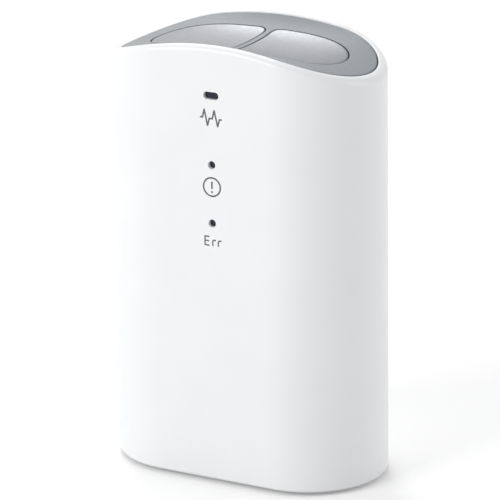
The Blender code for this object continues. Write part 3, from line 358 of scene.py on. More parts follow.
# %% Windows, lamps and ink
LENS_GLEAM = 0.3
smoked_lens = make_finish(
    "smoked_lens", (0.014, 0.014, 0.03), 0.14, drift=(1500, 3),
    tones=((0.010, 0.010, 0.024), (0.020, 0.020, 0.042)), dull=(0.10, 0.20),
    depth=0.000004, strength=0.3, bump_drift=(1200, 1))
smoked_lens.node_tree.nodes["Principled BSDF"].inputs["Specular IOR Level"].default_value = LENS_GLEAM
clear_lamp = make_finish(
    "clear_lamp", (0.75, 0.72, 0.60), 0.2, drift=(3000, 3),
    tones=((0.70, 0.66, 0.50), (0.80, 0.78, 0.68)), dull=(0.14, 0.30),
    depth=0.000006, strength=0.3, bump_drift=(2000, 2))
grey_ink = make_finish(
    "grey_ink", (0.13, 0.13, 0.135), 0.55, drift=(9000, 2), low_stop=SPECK_STOP,
    tones=((0.085, 0.085, 0.09), (0.125, 0.125, 0.13)), dull=(0.5, 0.65), depth=0.000004, strength=0.5)

# %% [markdown]
# The electronics show only when the case is taken apart, but they are finished too. A circuit board
# is a green coat over copper tracks: a square-edged Voronoi pattern stands for the copper areas, and
# the coat is a little raised over them. The flexible strip is amber film with copper lines along it.

# %% Electronics
TRACK_PITCH = 0.0009
PAD_PITCH = 3 * TRACK_PITCH
FLEX_LINE_SHARE = 0.3


def make_board_laminate():
    made = start_finish("board_laminate", (0.03, 0.20, 0.09), 0.4)
    tree = made.node_tree
    copper = tree.nodes.new("ShaderNodeTexVoronoi")
    copper.distance = "MANHATTAN"
    copper.inputs["Scale"].default_value = 1 / PAD_PITCH
    tree.links.new(object_place(made), copper.inputs["Vector"])
    stops = [(0.15, (0.02, 0.15, 0.06)), (0.3, (0.05, 0.27, 0.12)), (0.6, (0.03, 0.20, 0.09))]
    paint(made, between(made, copper.outputs["Distance"], stops))
    polish(made, spread(made, grain(made, 1500, 3), 0.32, 0.46))
    emboss(made, copper.outputs["Distance"], 0.00002, 0.5)
    return made


def make_flex_film():
    made = start_finish("flex_film", (0.45, 0.22, 0.06), 0.35)
    tree = made.node_tree
    lines = tree.nodes.new("ShaderNodeTexWave")
    lines.bands_direction = "X"
    lines.inputs["Scale"].default_value = FLEX_LINE_SHARE / TRACK_PITCH
    tree.links.new(object_place(made), lines.inputs["Vector"])
    stops = [(0.35, (0.30, 0.12, 0.03)), (0.65, (0.55, 0.30, 0.09))]
    paint(made, between(made, lines.outputs["Fac"], stops))
    polish(made, spread(made, grain(made, 2000, 2), 0.28, 0.42))
    emboss(made, lines.outputs["Fac"], 0.00002, 0.5)
    return made


board_laminate = make_board_laminate()
flex_film = make_flex_film()
ivory_plastic = make_finish(
    "ivory_plastic", (0.72, 0.69, 0.60), 0.5, drift=(1200, 3),
    tones=((0.68, 0.64, 0.54), (0.75, 0.72, 0.64)), dull=(0.44, 0.58),
    depth=0.000008, strength=0.4, bump_drift=(4000, 2))
gasket_rubber = make_finish(
    "gasket_rubber", (0.05, 0.05, 0.05), 0.8, drift=(4000, 4), low_stop=SPECK_STOP,
    tones=((0.035, 0.035, 0.035), (0.08, 0.08, 0.08)), dull=(0.72, 0.9), depth=0.00002, strength=0.5)

# %% [markdown]
# The batteries wear a printed film. A cell's own height along Z decides its colour: a steel end, a
# pale band near the positive end and a dark wrap below. The two cells point opposite ways, so each
# gets its own copy of the finish, with the ramp turned round for the right one.

# %% Battery wrap
BAND_SHARES = (0.02, 0.80, 0.83, 0.97)
STEEL_END = (0.55, 0.56, 0.58)
WRAP = (0.035, 0.05, 0.09)
BAND = (0.62, 0.60, 0.52)


def make_battery_wrap(name, low_z, high_z, plus_up):
    made = start_finish(name, WRAP, 0.32)
    tree = made.node_tree
    split = tree.nodes.new("ShaderNodeSeparateXYZ")
    tree.links.new(object_place(made), split.inputs["Vector"])
    height = tree.nodes.new("ShaderNodeMapRange")
    minus_end, plus_end = (low_z, high_z) if plus_up else (high_z, low_z)
    height.inputs["From Min"].default_value = minus_end
    height.inputs["From Max"].default_value = plus_end
    tree.links.new(split.outputs["Z"], height.inputs["Value"])
    foot, band_low, band_high, shoulder = BAND_SHARES
    stops = [(0, STEEL_END), (foot, WRAP), (band_low, BAND), (band_high, WRAP), (shoulder, STEEL_END)]
    paint(made, between(made, height.outputs["Result"], stops, "CONSTANT"))
    polish(made, spread(made, grain(made, 700, 4), 0.25, 0.42))
    emboss(made, grain(made, 1500, 3), 0.00001, 0.3)
    return made


left_low, left_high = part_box("battery_left")
right_low, right_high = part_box("battery_right")
battery_wrap_up = make_battery_wrap("battery_wrap_up", left_low.z, left_high.z, True)
battery_wrap_down = make_battery_wrap("battery_wrap_down", right_low.z, right_high.z, False)
print("Battery wraps made")

# %% [markdown]
# ## Helpers for modelling
#
# Modelling by script is the same work as by hand: add a primitive, go into edit mode, select
# something, and move, extrude or bevel it. These helpers select, enter edit mode and leave it, with
# the object back at the origin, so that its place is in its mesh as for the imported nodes.

# %% Selecting, entering and leaving
NEAR = 0.00001


def only(piece):
    """In object mode: selects one object and nothing else."""
    bpy.ops.object.select_all(action="DESELECT")
    bpy.context.view_layer.objects.active = piece
    piece.select_set(True)


def apply_place():
    """In object mode: moves the object's place, turn and size into its mesh."""
    bpy.ops.object.transform_apply(location=True, rotation=True, scale=True)


def edited_mesh():
    """The points, edges and faces of the piece in edit mode."""
    return bmesh.from_edit_mesh(bpy.context.object.data)


def show_edits():
    """Tells Blender that the piece in edit mode was changed in code."""
    bmesh.update_edit_mesh(bpy.context.object.data)


def set_selection(kind, action):
    """In edit mode: works on VERT, EDGE or FACE elements, and selects or deselects all of them."""
    bpy.ops.mesh.select_mode(type=kind)
    bpy.ops.mesh.select_all(action=action)


def begin(name):
    """Names the new active object and enters edit mode on it, with all of it selected."""
    piece = bpy.context.object
    piece.name = name
    piece.data.name = name
    apply_place()
    bpy.ops.object.mode_set(mode="EDIT")
    bpy.ops.mesh.select_all(action="SELECT")
    return piece


def pick(kind, test):
    """In edit mode: selects the VERT, EDGE or FACE elements whose middle passes a test."""
    set_selection(kind, "DESELECT")
    mesh = edited_mesh()
    for element in {"VERT": mesh.verts, "EDGE": mesh.edges, "FACE": mesh.faces}[kind]:
        if kind == "VERT":
            middle = element.co
        elif kind == "EDGE":
            middle = (element.verts[0].co + element.verts[1].co) / 2
        else:
            middle = element.calc_center_median()
        element.select_set(bool(test(middle)))
    mesh.select_flush_mode()
    show_edits()


def leave(piece):
    """Leaves edit mode and puts the object at the origin."""
    bpy.ops.object.mode_set(mode="OBJECT")
    apply_place()
    return piece


print("Helpers for selecting are ready")

# %% [markdown]
# The next helpers are the tools of edit mode: a slice through everything, an extrude, a bevel, a lid
# for an open rim, and a clean-up that merges doubled points and turns the faces outwards. One keeps
# only the outline of a flat shape, which is what a sweep needs.

# %% Tools of edit mode
MERGE = 0.000001


def slice_at(plane_co, plane_no, **options):
    """In edit mode: bisects the whole mesh."""
    bpy.ops.mesh.select_all(action="SELECT")
    bpy.ops.mesh.bisect(plane_co=plane_co, plane_no=plane_no, **options)


def extrude(move):
    """In edit mode: extrudes the selection and moves it."""
    bpy.ops.mesh.extrude_region_move(TRANSFORM_OT_translate={"value": move})


def round_off(width, segments, affect="EDGES"):
    """In edit mode: bevels what is selected."""
    bpy.ops.mesh.bevel(offset=width, segments=segments, affect=affect)


def close_openings():
    """In edit mode: fills every open rim with a face."""
    set_selection("EDGE", "DESELECT")
    bpy.ops.mesh.select_non_manifold()
    if any(edge.select for edge in edited_mesh().edges):
        bpy.ops.mesh.edge_face_add()


def keep_outline():
    """In edit mode: deletes a flat section's faces and inner edges, and leaves its outline selected."""
    set_selection("EDGE", "DESELECT")
    mesh = edited_mesh()
    inner = [edge for edge in mesh.edges if len(edge.link_faces) == 2]
    for edge in inner:
        edge.select_set(True)
    show_edits()
    if inner:
        bpy.ops.mesh.delete(type="EDGE")
    bpy.ops.mesh.select_all(action="SELECT")
    bpy.ops.mesh.delete(type="ONLY_FACE")
    set_selection("EDGE", "SELECT")


def tidy_mesh():
    """In edit mode: merges doubles and turns all faces outwards."""
    set_selection("VERT", "SELECT")
    bpy.ops.mesh.remove_doubles(threshold=MERGE)
    bpy.ops.mesh.normals_make_consistent(inside=False)


print("Tools of edit mode are ready")

# %% [markdown]
# Booleans cut and join finished meshes. Last of all a piece is dressed: its shading turns smooth
# except at sharp edges, weighted normals keep flat faces flat beside small bevels, and it gets its
# finish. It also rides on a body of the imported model, and hides the node that it stands for.

# %% Cutting and dressing
SMOOTH_ANGLE = math.radians(30)


def carve(piece, cutter, operation="DIFFERENCE"):
    """Cuts one closed mesh out of another, or joins it on, and removes the cutter."""
    only(piece)
    bpy.ops.object.modifier_add(type="BOOLEAN")
    cut = piece.modifiers[-1]
    cut.operation = operation
    cut.solver = "EXACT"
    cut.object = cutter
    bpy.ops.object.modifier_apply(modifier=cut.name)
    bpy.data.objects.remove(cutter)


def dress(piece, finish, body, slot, *replaced):
    """Gives a finished piece its shading, finish and body, and hides what it stands for. The slot argument
    is not used.
    """
    only(piece)
    bpy.ops.object.shade_smooth_by_angle(angle=SMOOTH_ANGLE)
    bpy.ops.object.modifier_add(type="WEIGHTED_NORMAL")
    piece.modifiers[-1].keep_sharp = True
    bpy.ops.object.modifier_apply(modifier=piece.modifiers[-1].name)
    piece.data.materials.clear()
    piece.data.materials.append(finish)
    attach(piece, body)
    if replaced:
        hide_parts(*replaced)
    print(piece.name, "has", len(piece.data.polygons), "faces")


print("Helpers for cutting and dressing are ready")

# %% [markdown]
# The monitor's plan is a stadium: two half circles joined by straight flanks. Sleeve, panel and
# foot cover share that plan, so one helper carries a drawn section round it. Spin takes the section
# round one end, extrude takes it along the back, spin and extrude bring it home, and the doubled
# first edge is merged. Spin counts a clockwise turn as positive, so the angle here is negative.

# %% Sweep round the stadium
HALF_WIDTH = 0.03235
HALF_DEPTH = 0.01795
REACH = HALF_WIDTH - HALF_DEPTH
DRAFT = 0.00016
END_STEPS = 48
FLANK_STEPS = 10


def sweep(reach, end_steps=END_STEPS, flank_steps=FLANK_STEPS):
    """In edit mode: carries the selected section, drawn above the right end of the front flank,
    round a stadium whose straight flanks are twice the reach long."""
    step = 2 * reach / flank_steps
    for side in (1, -1):
        bpy.ops.mesh.spin(steps=end_steps, angle=-math.pi, center=(side * reach, 0, 0), axis=(0, 0, 1))
        for _ in range(flank_steps):
            extrude((-side * step, 0, 0))
    tidy_mesh()


print("Flank of", round(2 * MM * REACH, 1), "mm between the ends")

# %% [markdown]
# The top is a saddle. Seen from the front its rim arches down to both ends, and seen from the side
# it dips between front and back, deeper in the middle where the fingertips lie. The rim, the panel
# and the plates all follow it, so it is written once as a height over the plan, and one helper
# lowers the points of a piece from the level top that they were drawn at.

# %% The saddle
LIP_WIDTH = 0.0021
END_DROP = 0.0071
END_CURL = 0.00116
SIDE_RISE = 0.0014
DISH_DEPTH = 0.0022
DISH_POWER = 4.3
DISH_END_POWER = 2.7

FOOT_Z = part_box("body_shell")[0].z
BODY_HEIGHT = 0.0996
LIP_Z = FOOT_Z + BODY_HEIGHT


def saddle(x, y):
    """Height of the top surface: the white lip at its rim, the grey dish inside it."""
    along = min((x / HALF_WIDTH) ** 2, 1.0)
    across = min((y / HALF_DEPTH) ** 2, 1.0)
    lip = LIP_Z - END_DROP * along + END_CURL * along ** 2 + SIDE_RISE * across
    past_flank = max(abs(x) - REACH, 0)
    out = min(math.hypot(past_flank, y) / (HALF_DEPTH - LIP_WIDTH), 1)
    inward = 1 - min(abs(x) / (HALF_WIDTH - LIP_WIDTH), 1) ** 2
    return lip - DISH_DEPTH * (1 - out ** DISH_POWER) * inward ** DISH_END_POWER


def settle():
    """In edit mode: lowers the selected points from a level top at LIP_Z onto the saddle."""
    mesh = edited_mesh()
    for point in mesh.verts:
        if point.select:
            point.co.z += saddle(point.co.x, point.co.y) - LIP_Z
    show_edits()


lip_heights = [round(MM * height, 2) for height in (saddle(HALF_WIDTH, 0), saddle(0, HALF_DEPTH))]
print("Lip from", lip_heights[0], "to", lip_heights[1], "mm high")

# %% [markdown]
# ## The white sleeve
#
# The sleeve is one moulding: a thin wall with a rounded lip, a ledge inside that the panel sits on,
# and a rebate at the foot for the cover. Its section is cut out of a flat plate, as from card: slices
# mark the steps, the waste is deleted, and three corners are rounded. Then it goes round the stadium.
# Modelling the section first keeps the lip equally wide all the way round.

# %% Section of the sleeve
WALL = 0.0019
LEDGE_INSET = 0.0035
SEAT_DROP = 0.0026
LEDGE_DROP = 0.0042
REBATE = 0.0011
COVER_DEPTH = 0.0027
SHOULDER_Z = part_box("base_cover")[0].z + COVER_DEPTH
LIP_RADIUS = 0.0015
LIP_INNER_RADIUS = 0.0003
FOOT_RADIUS = 0.0008
LIP_STEPS, LIP_INNER_STEPS, FOOT_STEPS = 10, 3, 6
SUPPORT = 0.0008
FLAT_ANGLE = math.radians(0.5)


def draw_sleeve_section():
    """In edit mode: leaves the outline of the wall, standing above the right end of the front flank."""
    front = -HALF_DEPTH
    for inset in (REBATE, WALL, LIP_WIDTH):
        slice_at((0, front + inset, 0), (0, 1, 0))
    for height in (SHOULDER_Z, LIP_Z - LEDGE_DROP, LIP_Z - SEAT_DROP):
        slice_at((0, 0, height), (0, 0, 1))
    pick("FACE", lambda at: at.y > front + WALL and at.z < LIP_Z - LEDGE_DROP)
    bpy.ops.mesh.delete(type="FACE")
    pick("FACE", lambda at: at.y > front + REBATE and at.z < SHOULDER_Z)
    bpy.ops.mesh.delete(type="FACE")
    pick("FACE", lambda at: at.y > front + LIP_WIDTH and at.z > LIP_Z - SEAT_DROP)
    bpy.ops.mesh.delete(type="FACE")
    pick("VERT", lambda at: at.z < LIP_Z / 2)
    bpy.ops.transform.translate(value=(0, -DRAFT, 0))
    pick("VERT", lambda at: at.z > LIP_Z / 2)
    bpy.ops.transform.translate(value=(0, DRAFT, 0))
    bpy.ops.mesh.select_all(action="SELECT")
    bpy.ops.mesh.dissolve_limited(angle_limit=FLAT_ANGLE)
    corners = ((front + DRAFT, LIP_Z, LIP_RADIUS, LIP_STEPS),
               (front - DRAFT, FOOT_Z, FOOT_RADIUS, FOOT_STEPS),
               (front + LIP_WIDTH + DRAFT, LIP_Z, LIP_INNER_RADIUS, LIP_INNER_STEPS))
    for y, z, radius, segments in corners:
        pick("VERT", lambda at: abs(at.y - y) < NEAR and abs(at.z - z) < NEAR)
        round_off(radius, segments, "VERTICES")
    slice_at((0, 0, LIP_Z - LIP_RADIUS - SUPPORT), (0, 0, 1))
    slice_at((0, 0, FOOT_Z + FOOT_RADIUS + SUPPORT), (0, 0, 1))
    keep_outline()


bpy.ops.object.select_all(action="DESELECT")
middle = (REACH, -HALF_DEPTH + LEDGE_INSET / 2, (FOOT_Z + LIP_Z) / 2)
bpy.ops.mesh.primitive_plane_add(size=1, location=middle, rotation=(0, math.pi / 2, 0))
bpy.context.object.scale = (BODY_HEIGHT, LEDGE_INSET, 1)
sleeve = begin("sleeve")
draw_sleeve_section()
print("Section of the sleeve has", len(bmesh.from_edit_mesh(sleeve.data).verts), "points")

# %% [markdown]
# Now the section goes round. Afterwards every point in the upper half drops onto the saddle by the
# same rule, so the lip, the ledge and the rounding all arch together.

# %% Sweep and settle the sleeve
sweep(REACH)
pick("VERT", lambda at: at.z > LIP_Z / 2)
settle()
leave(sleeve)
print("Sleeve swept:", len(sleeve.data.polygons), "faces")

# %% [markdown]
# The openings are cut with Booleans, as a mould's pins would leave them: a slot and two round holes
# for the lights in front, a door opening and a round hole for the start button behind. Each cutter
# is a primitive: a rod along an axis, or a block with its corners rounded by a bevel.

# %% Cutters
AXIS_TURNS = {"X": (0, math.pi / 2, 0), "Y": (math.pi / 2, 0, 0), "Z": (0, 0, 0)}
CUT_REACH = 0.004
ROUND_SEGMENTS = 40
SLOT_STEPS = 12
CORNER_STEPS = 10
EDGE_STEPS = 3
slot_low, slot_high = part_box("wave_lens")
SLOT_WIDTH = 0.0037
SLOT_HEIGHT = 0.0017
HOLE_RADIUS = 0.0009
WAVE_Z = (slot_low.z + slot_high.z) / 2
NOTICE_Z = sum(corner.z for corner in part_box("notice_lens")) / 2
ERROR_Z = sum(corner.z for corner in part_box("error_lens")) / 2
DOOR_GAP = 0.0003
DOOR_CORNER = 0.0022
door_low, door_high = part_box("battery_door")
door_top = door_high.z
door_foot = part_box("battery_bridge")[0].z
door_half = door_high.x
KEY_RADIUS = 0.0045
KEY_Z = sum(corner.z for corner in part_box("start_button")) / 2


def wall_y(side, z):
    """Depth of the outer wall in front (-1) or behind (1) at a height."""
    return side * (HALF_DEPTH + DRAFT * (1 - 2 * (z - FOOT_Z) / BODY_HEIGHT))


def add_rod(axis, radius, length, middle, segments):
    """A cylinder along an axis."""
    bpy.ops.mesh.primitive_cylinder_add(vertices=segments, radius=radius, depth=length,
                                        location=middle, rotation=AXIS_TURNS[axis])
    return bpy.context.object


def add_pin(x, z, side, radius, segments=ROUND_SEGMENTS):
    """A round cutter along Y through the front (-1) or back (1) wall."""
    return add_rod("Y", radius, 2 * CUT_REACH, (x, side * HALF_DEPTH, z), segments)


def add_rounded_block(size, middle, corner, segments):
    """A block along Y whose four long edges are rounded."""
    bpy.ops.mesh.primitive_cube_add(size=1, location=middle)
    bpy.context.object.scale = size
    block = begin("block")
    pick("EDGE", lambda at: abs(at.y - middle[1]) < NEAR)
    round_off(corner, segments)
    return leave(block)


print("Cutters ready, each", round(2 * MM * CUT_REACH, 1), "mm long")

# %% [markdown]
# After the cuts a tiny bevel on the outer edge of each opening gives the soft edge that moulded
# plastic has, which is what catches the light. Those edges are found by their place: they lie on the
# outer wall, and their two faces meet at a sharp angle.

# %% Cut the openings
CUT_EDGE = 0.00008
OPENING_EDGE = 0.0003


def soften(piece, side, low, high, width):
    """Bevels the edges that a cutter left on the outer wall, between two corners of a window."""
    only(piece)
    bpy.ops.object.mode_set(mode="EDIT")
    set_selection("EDGE", "DESELECT")
    mesh = bmesh.from_edit_mesh(piece.data)
    count = 0
    for edge in mesh.edges:
        middle = (edge.verts[0].co + edge.verts[1].co) / 2
        inside = low[0] < middle.x < high[0] and low[1] < middle.z < high[1]
        if inside and abs(middle.y - wall_y(side, middle.z)) < NEAR and len(edge.link_faces) == 2:
            if edge.calc_face_angle() > SMOOTH_ANGLE:
                edge.select_set(True)
                count += 1
    bmesh.update_edit_mesh(piece.data)
    round_off(width, EDGE_STEPS)
    bpy.ops.object.mode_set(mode="OBJECT")
    return count


carve(sleeve, add_rounded_block((SLOT_WIDTH, 2 * CUT_REACH, SLOT_HEIGHT), (0, -HALF_DEPTH, WAVE_Z),
                                SLOT_HEIGHT / 2 - NEAR, SLOT_STEPS))
carve(sleeve, add_pin(0, NOTICE_Z, -1, HOLE_RADIUS))
carve(sleeve, add_pin(0, ERROR_Z, -1, HOLE_RADIUS))
door_size = (2 * (door_half + DOOR_GAP), 2 * CUT_REACH, door_top - door_foot + 2 * DOOR_GAP)
door_middle = (0, HALF_DEPTH, (door_foot + door_top) / 2)
carve(sleeve, add_rounded_block(door_size, door_middle, DOOR_CORNER + DOOR_GAP, CORNER_STEPS))
carve(sleeve, add_pin(0, KEY_Z, 1, KEY_RADIUS + DOOR_GAP, 2 * ROUND_SEGMENTS))
windows_low, windows_high = (-SLOT_WIDTH, ERROR_Z - SLOT_WIDTH), (SLOT_WIDTH, WAVE_Z + SLOT_WIDTH)
print("Edges softened in front:", soften(sleeve, -1, windows_low, windows_high, CUT_EDGE))
back_low, back_high = (-HALF_WIDTH, FOOT_Z + SUPPORT), (HALF_WIDTH, KEY_Z + 2 * KEY_RADIUS)
print("Edges softened behind:", soften(sleeve, 1, back_low, back_high, OPENING_EDGE))
dress(sleeve, white_plastic, "monitor", "white_plastic", "body_shell")

# %% [markdown]
# ## The grey saddle panel
#
# The panel fills the lip all the way across. Its section is only a top line, a short rim and a
# bottom line, both lines running in to the middle of the plan. Swept round the stadium they close
# by themselves. Its many rings let it bend smoothly when it settles onto the saddle.

# %% Saddle panel
PANEL_THICKNESS = 0.0023
PANEL_GAP = 0.0003
PANEL_EDGE = 0.0002
PANEL_RINGS = 20
panel_radius = HALF_DEPTH - DRAFT - LIP_WIDTH - PANEL_GAP


def draw_slab_section(radius, low, high, rings, top_edge, foot_edge, edge_steps=EDGE_STEPS):
    """Leaves the section of a slab in edit mode: from the middle of the plan out to a radius."""
    bpy.ops.object.select_all(action="DESELECT")
    middle = (REACH, -radius / 2, (low + high) / 2)
    bpy.ops.mesh.primitive_plane_add(size=1, location=middle, rotation=(0, math.pi / 2, 0))
    bpy.context.object.scale = (high - low, radius, 1)
    piece = begin("slab")
    for height, edge in ((high, top_edge), (low, foot_edge)):
        if edge:
            pick("VERT", lambda at: at.y < -radius + NEAR and abs(at.z - height) < NEAR)
            round_off(edge, edge_steps, "VERTICES")
    for ring in range(1, rings):
        slice_at((0, -radius * ring / rings, 0), (0, 1, 0))
    keep_outline()
    pick("EDGE", lambda at: at.y > -NEAR)
    bpy.ops.mesh.delete(type="EDGE")
    set_selection("EDGE", "SELECT")
    return piece


panel = draw_slab_section(panel_radius, LIP_Z - PANEL_THICKNESS, LIP_Z, PANEL_RINGS, PANEL_EDGE, 0)
sweep(REACH)
bpy.ops.mesh.select_all(action="SELECT")
settle()
leave(panel)
panel.name = "saddle_panel"
print("Panel swept:", len(panel.data.polygons), "faces")

# %% [markdown]
# The panel has two pockets for the finger plates. Their plan is a rounded half oval: flat beside the
# middle bar, gently curved along both sides, and blunt at the end. A circle gives the points, and
# moving them outwards along X makes the end blunter than an oval's. A slice takes off the half beyond
# the bar and a bevel rounds the two corners it left. The straight edge gets points too, because it
# has to follow the dish as the curved one does.

# %% Plan of the finger plates
PLATE_END_INSET = 0.00884
PLATE_SIDE_INSET = 0.00728
PLATE_REACH = HALF_WIDTH - PLATE_END_INSET
PLATE_HALF_DEPTH = HALF_DEPTH - PLATE_SIDE_INSET
PLATE_POWER = 4.0
PLATE_BAR = 0.00163
PLATE_CORNER = 0.0020
PLATE_CORNER_STEPS = 8
PLATE_SEGMENTS = 160
PLATE_CUTS = 30
INLAY_GAP = 0.00022
plate_middle = (PLATE_BAR / 2 + PLATE_REACH) / 2


def blunt(value):
    """Moves a circle's coordinate, from -1 to 1, outwards."""
    return math.copysign(abs(value) ** (2 / PLATE_POWER), value)


def draw_plate_plan(spread, height):
    """Leaves one flat face in edit mode: the plan of the right plate, grown by spread."""
    bpy.ops.object.select_all(action="DESELECT")
    bpy.ops.mesh.primitive_circle_add(vertices=PLATE_SEGMENTS, radius=1, fill_type="NGON")
    piece = begin("plate")
    mesh = bmesh.from_edit_mesh(piece.data)
    for point in mesh.verts:
        across = point.co.y * (PLATE_HALF_DEPTH + spread)
        point.co = (blunt(point.co.x) * (PLATE_REACH + spread), across, height)
    bmesh.update_edit_mesh(piece.data)
    near = PLATE_BAR / 2 - spread
    slice_at((near, 0, 0), (1, 0, 0), clear_inner=True)
    pick("VERT", lambda at: abs(at.x - near) < NEAR and abs(at.y) > PLATE_CORNER)
    round_off(PLATE_CORNER + spread, PLATE_CORNER_STEPS, "VERTICES")
    pick("EDGE", lambda at: abs(at.x - near) < NEAR and abs(at.y) < PLATE_CORNER)
    bpy.ops.mesh.subdivide(number_cuts=PLATE_CUTS)
    pick("FACE", lambda at: True)
    return piece


def mirror_piece(piece):
    """In object mode: turns a right-hand piece into its left-hand twin."""
    only(piece)
    bpy.ops.object.mode_set(mode="EDIT")
    bpy.ops.mesh.select_all(action="SELECT")
    bpy.ops.transform.resize(value=(-1, 1, 1), center_override=(0, 0, 0))
    bpy.ops.mesh.normals_make_consistent(inside=False)
    bpy.ops.object.mode_set(mode="OBJECT")


def settle_below(height, drop):
    """In edit mode: puts the points near a height onto the saddle, lowered by drop."""
    mesh = edited_mesh()
    for point in mesh.verts:
        if abs(point.co.z - height) < NEAR:
            point.co.z = saddle(point.co.x, point.co.y) - drop
    show_edits()


print("Finger plates reach", round(MM * PLATE_REACH, 1), "mm from the middle")

# %% [markdown]
# A pocket's cutter is that plan, a little larger than the plate, extruded from well above the panel
# down to the pocket's floor. The inner rings matter: without them the floor would be one flat face across
# a curved dish. They come from extruding the face in place and scaling it towards its middle.

# %% Pockets in the panel
POCKET_DEPTH = 0.0011
POCKET_TOP = LIP_Z + CUT_REACH
RING_SHARES = (0.86, 0.72, 0.58, 0.44, 0.30, 0.16)


def add_rings(shares, height):
    """In edit mode: divides the selected flat face into rings scaled towards its middle."""
    size = 1.0
    for share in shares:
        extrude((0, 0, 0))
        bpy.ops.transform.resize(value=(share / size, share / size, 1),
                                 center_override=(plate_middle, 0, height))
        size = share
    bpy.ops.mesh.poke()


for side in (1, -1):
    cutter = draw_plate_plan(INLAY_GAP, POCKET_TOP)
    extrude((0, 0, LIP_Z - POCKET_TOP))
    add_rings(RING_SHARES, LIP_Z)
    close_openings()
    settle_below(LIP_Z, POCKET_DEPTH)
    tidy_mesh()
    leave(cutter)
    if side < 0:
        mirror_piece(cutter)
    carve(panel, cutter)
dress(panel, grey_plastic, "monitor", "grey_plastic", "top_panel")

# %% [markdown]
# ## The finger plates
#
# Each plate is pressed from steel sheet and follows the dish. It starts from the same plan, gets its
# thickness by an extrude straight down and rings on both faces, and settles onto the saddle. Its rim
# is then rounded with a bevel, because a fingertip slides over it. The stem under it, which touches
# a spring leaf inside, is a cylinder joined on. The left plate is the right one mirrored.

# %% Finger plates
PLATE_THICKNESS = 0.0008
PLATE_EDGE = 0.0003
RIM_SHARE = 0.94
STEM_RADIUS = 0.0015
STEM_SEGMENTS = 32
PLATE_EDGE_STEPS = 4
RIM_ANGLE = math.radians(60)


def select_upper_rim():
    """In edit mode: selects the sharp edges round the plate's top."""
    mesh = edited_mesh()
    set_selection("EDGE", "DESELECT")
    for edge in mesh.edges:
        if len(edge.link_faces) == 2 and edge.calc_face_angle() > RIM_ANGLE:
            ends = [point.co for point in edge.verts]
            if all(abs(at.z - saddle(at.x, at.y)) < NEAR for at in ends):
                edge.select_set(True)
    show_edits()


def make_finger_plate(word, side):
    """Makes one finger plate with its stem and rounded rim."""
    plate = draw_plate_plan(0, LIP_Z)
    extrude((0, 0, -PLATE_THICKNESS))
    add_rings(RING_SHARES, LIP_Z - PLATE_THICKNESS)
    close_openings()
    pick("FACE", lambda at: at.z > LIP_Z - NEAR)
    add_rings((RIM_SHARE,) + RING_SHARES, LIP_Z)
    settle_below(LIP_Z, 0)
    settle_below(LIP_Z - PLATE_THICKNESS, PLATE_THICKNESS)
    tidy_mesh()
    select_upper_rim()
    round_off(PLATE_EDGE, PLATE_EDGE_STEPS)
    leave(plate)
    if side < 0:
        mirror_piece(plate)
    leaf_low, leaf_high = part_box(f"finger_contact_{word}")
    stem_x = (leaf_low.x + leaf_high.x) / 2
    stem_y = leaf_high.y - STEM_RADIUS
    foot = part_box(f"finger_electrode_{word}")[0].z
    top = saddle(stem_x, stem_y) - PLATE_THICKNESS / 2
    stem = add_rod("Z", STEM_RADIUS, top - foot, (stem_x, stem_y, (top + foot) / 2), STEM_SEGMENTS)
    carve(plate, stem, "UNION")
    plate.name = f"finger_plate_{word}"
    dress(plate, electrode_steel, "monitor", "electrode_steel", f"finger_electrode_{word}")


make_finger_plate("right", 1)
make_finger_plate("left", -1)

# %% [markdown]
# ## Windows and print
#
# Behind each opening sits one smoked piece: a flange that is glued inside the wall, and a boss
# that stands in the opening. Both are blocks or pins; joined, they make one moulding. The boss stops
# a little behind the wall's face, so that each window has a shadow line round it.

# %% Windows
LENS_FLANGE = 0.0007
LENS_MARGIN = 0.0015
LENS_GAP = 0.00008
LENS_SETBACK = 0.0008
LENS_EDGE = 0.00006
FLANGE_STEPS = 8


def make_slot_lens():
    """The lens of the slot window: two rounded blocks."""
    low, high = slot_low, slot_high
    middle = (low + high) / 2
    size = (high.x - low.x, LENS_FLANGE, high.z - low.z)
    flange = add_rounded_block(size, (middle.x, high.y - LENS_FLANGE / 2, middle.z), LENS_MARGIN,
                               FLANGE_STEPS)
    face = wall_y(-1, WAVE_Z) + LENS_SETBACK
    depth = high.y - LENS_FLANGE / 2 - face
    size = (SLOT_WIDTH - 2 * LENS_GAP, depth, SLOT_HEIGHT - 2 * LENS_GAP)
    boss = add_rounded_block(size, (0, face + depth / 2, WAVE_Z), SLOT_HEIGHT / 2 - LENS_GAP - NEAR,
                             SLOT_STEPS)
    return finish_lens(flange, boss, "wave")


def make_round_lens(word):
    """The lens of a round window: two rods."""
    low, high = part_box(f"{word}_lens")
    middle = (low + high) / 2
    flange = add_rod("Y", (high.x - low.x) / 2, LENS_FLANGE, (0, high.y - LENS_FLANGE / 2, middle.z),
                     ROUND_SEGMENTS)
    face = wall_y(-1, middle.z) + LENS_SETBACK
    depth = high.y - LENS_FLANGE / 2 - face
    boss = add_rod("Y", HOLE_RADIUS - LENS_GAP, depth, (0, face + depth / 2, middle.z), ROUND_SEGMENTS)
    return finish_lens(flange, boss, word)


def finish_lens(flange, boss, word):
    """Joins flange and boss, and rounds the edge of the boss's face."""
    for part in (flange, boss):
        only(part)
        apply_place()
    carve(flange, boss, "UNION")
    face = min(point.co.y for point in flange.data.vertices)
    bpy.ops.object.mode_set(mode="EDIT")
    pick("EDGE", lambda at: at.y < face + NEAR)
    round_off(LENS_EDGE, EDGE_STEPS)
    tidy_mesh()
    leave(flange)
    flange.name = f"{word}_window"
    dress(flange, smoked_lens, "monitor", "smoked_lens", f"{word}_lens")


make_slot_lens()
make_round_lens("notice")
make_round_lens("error")

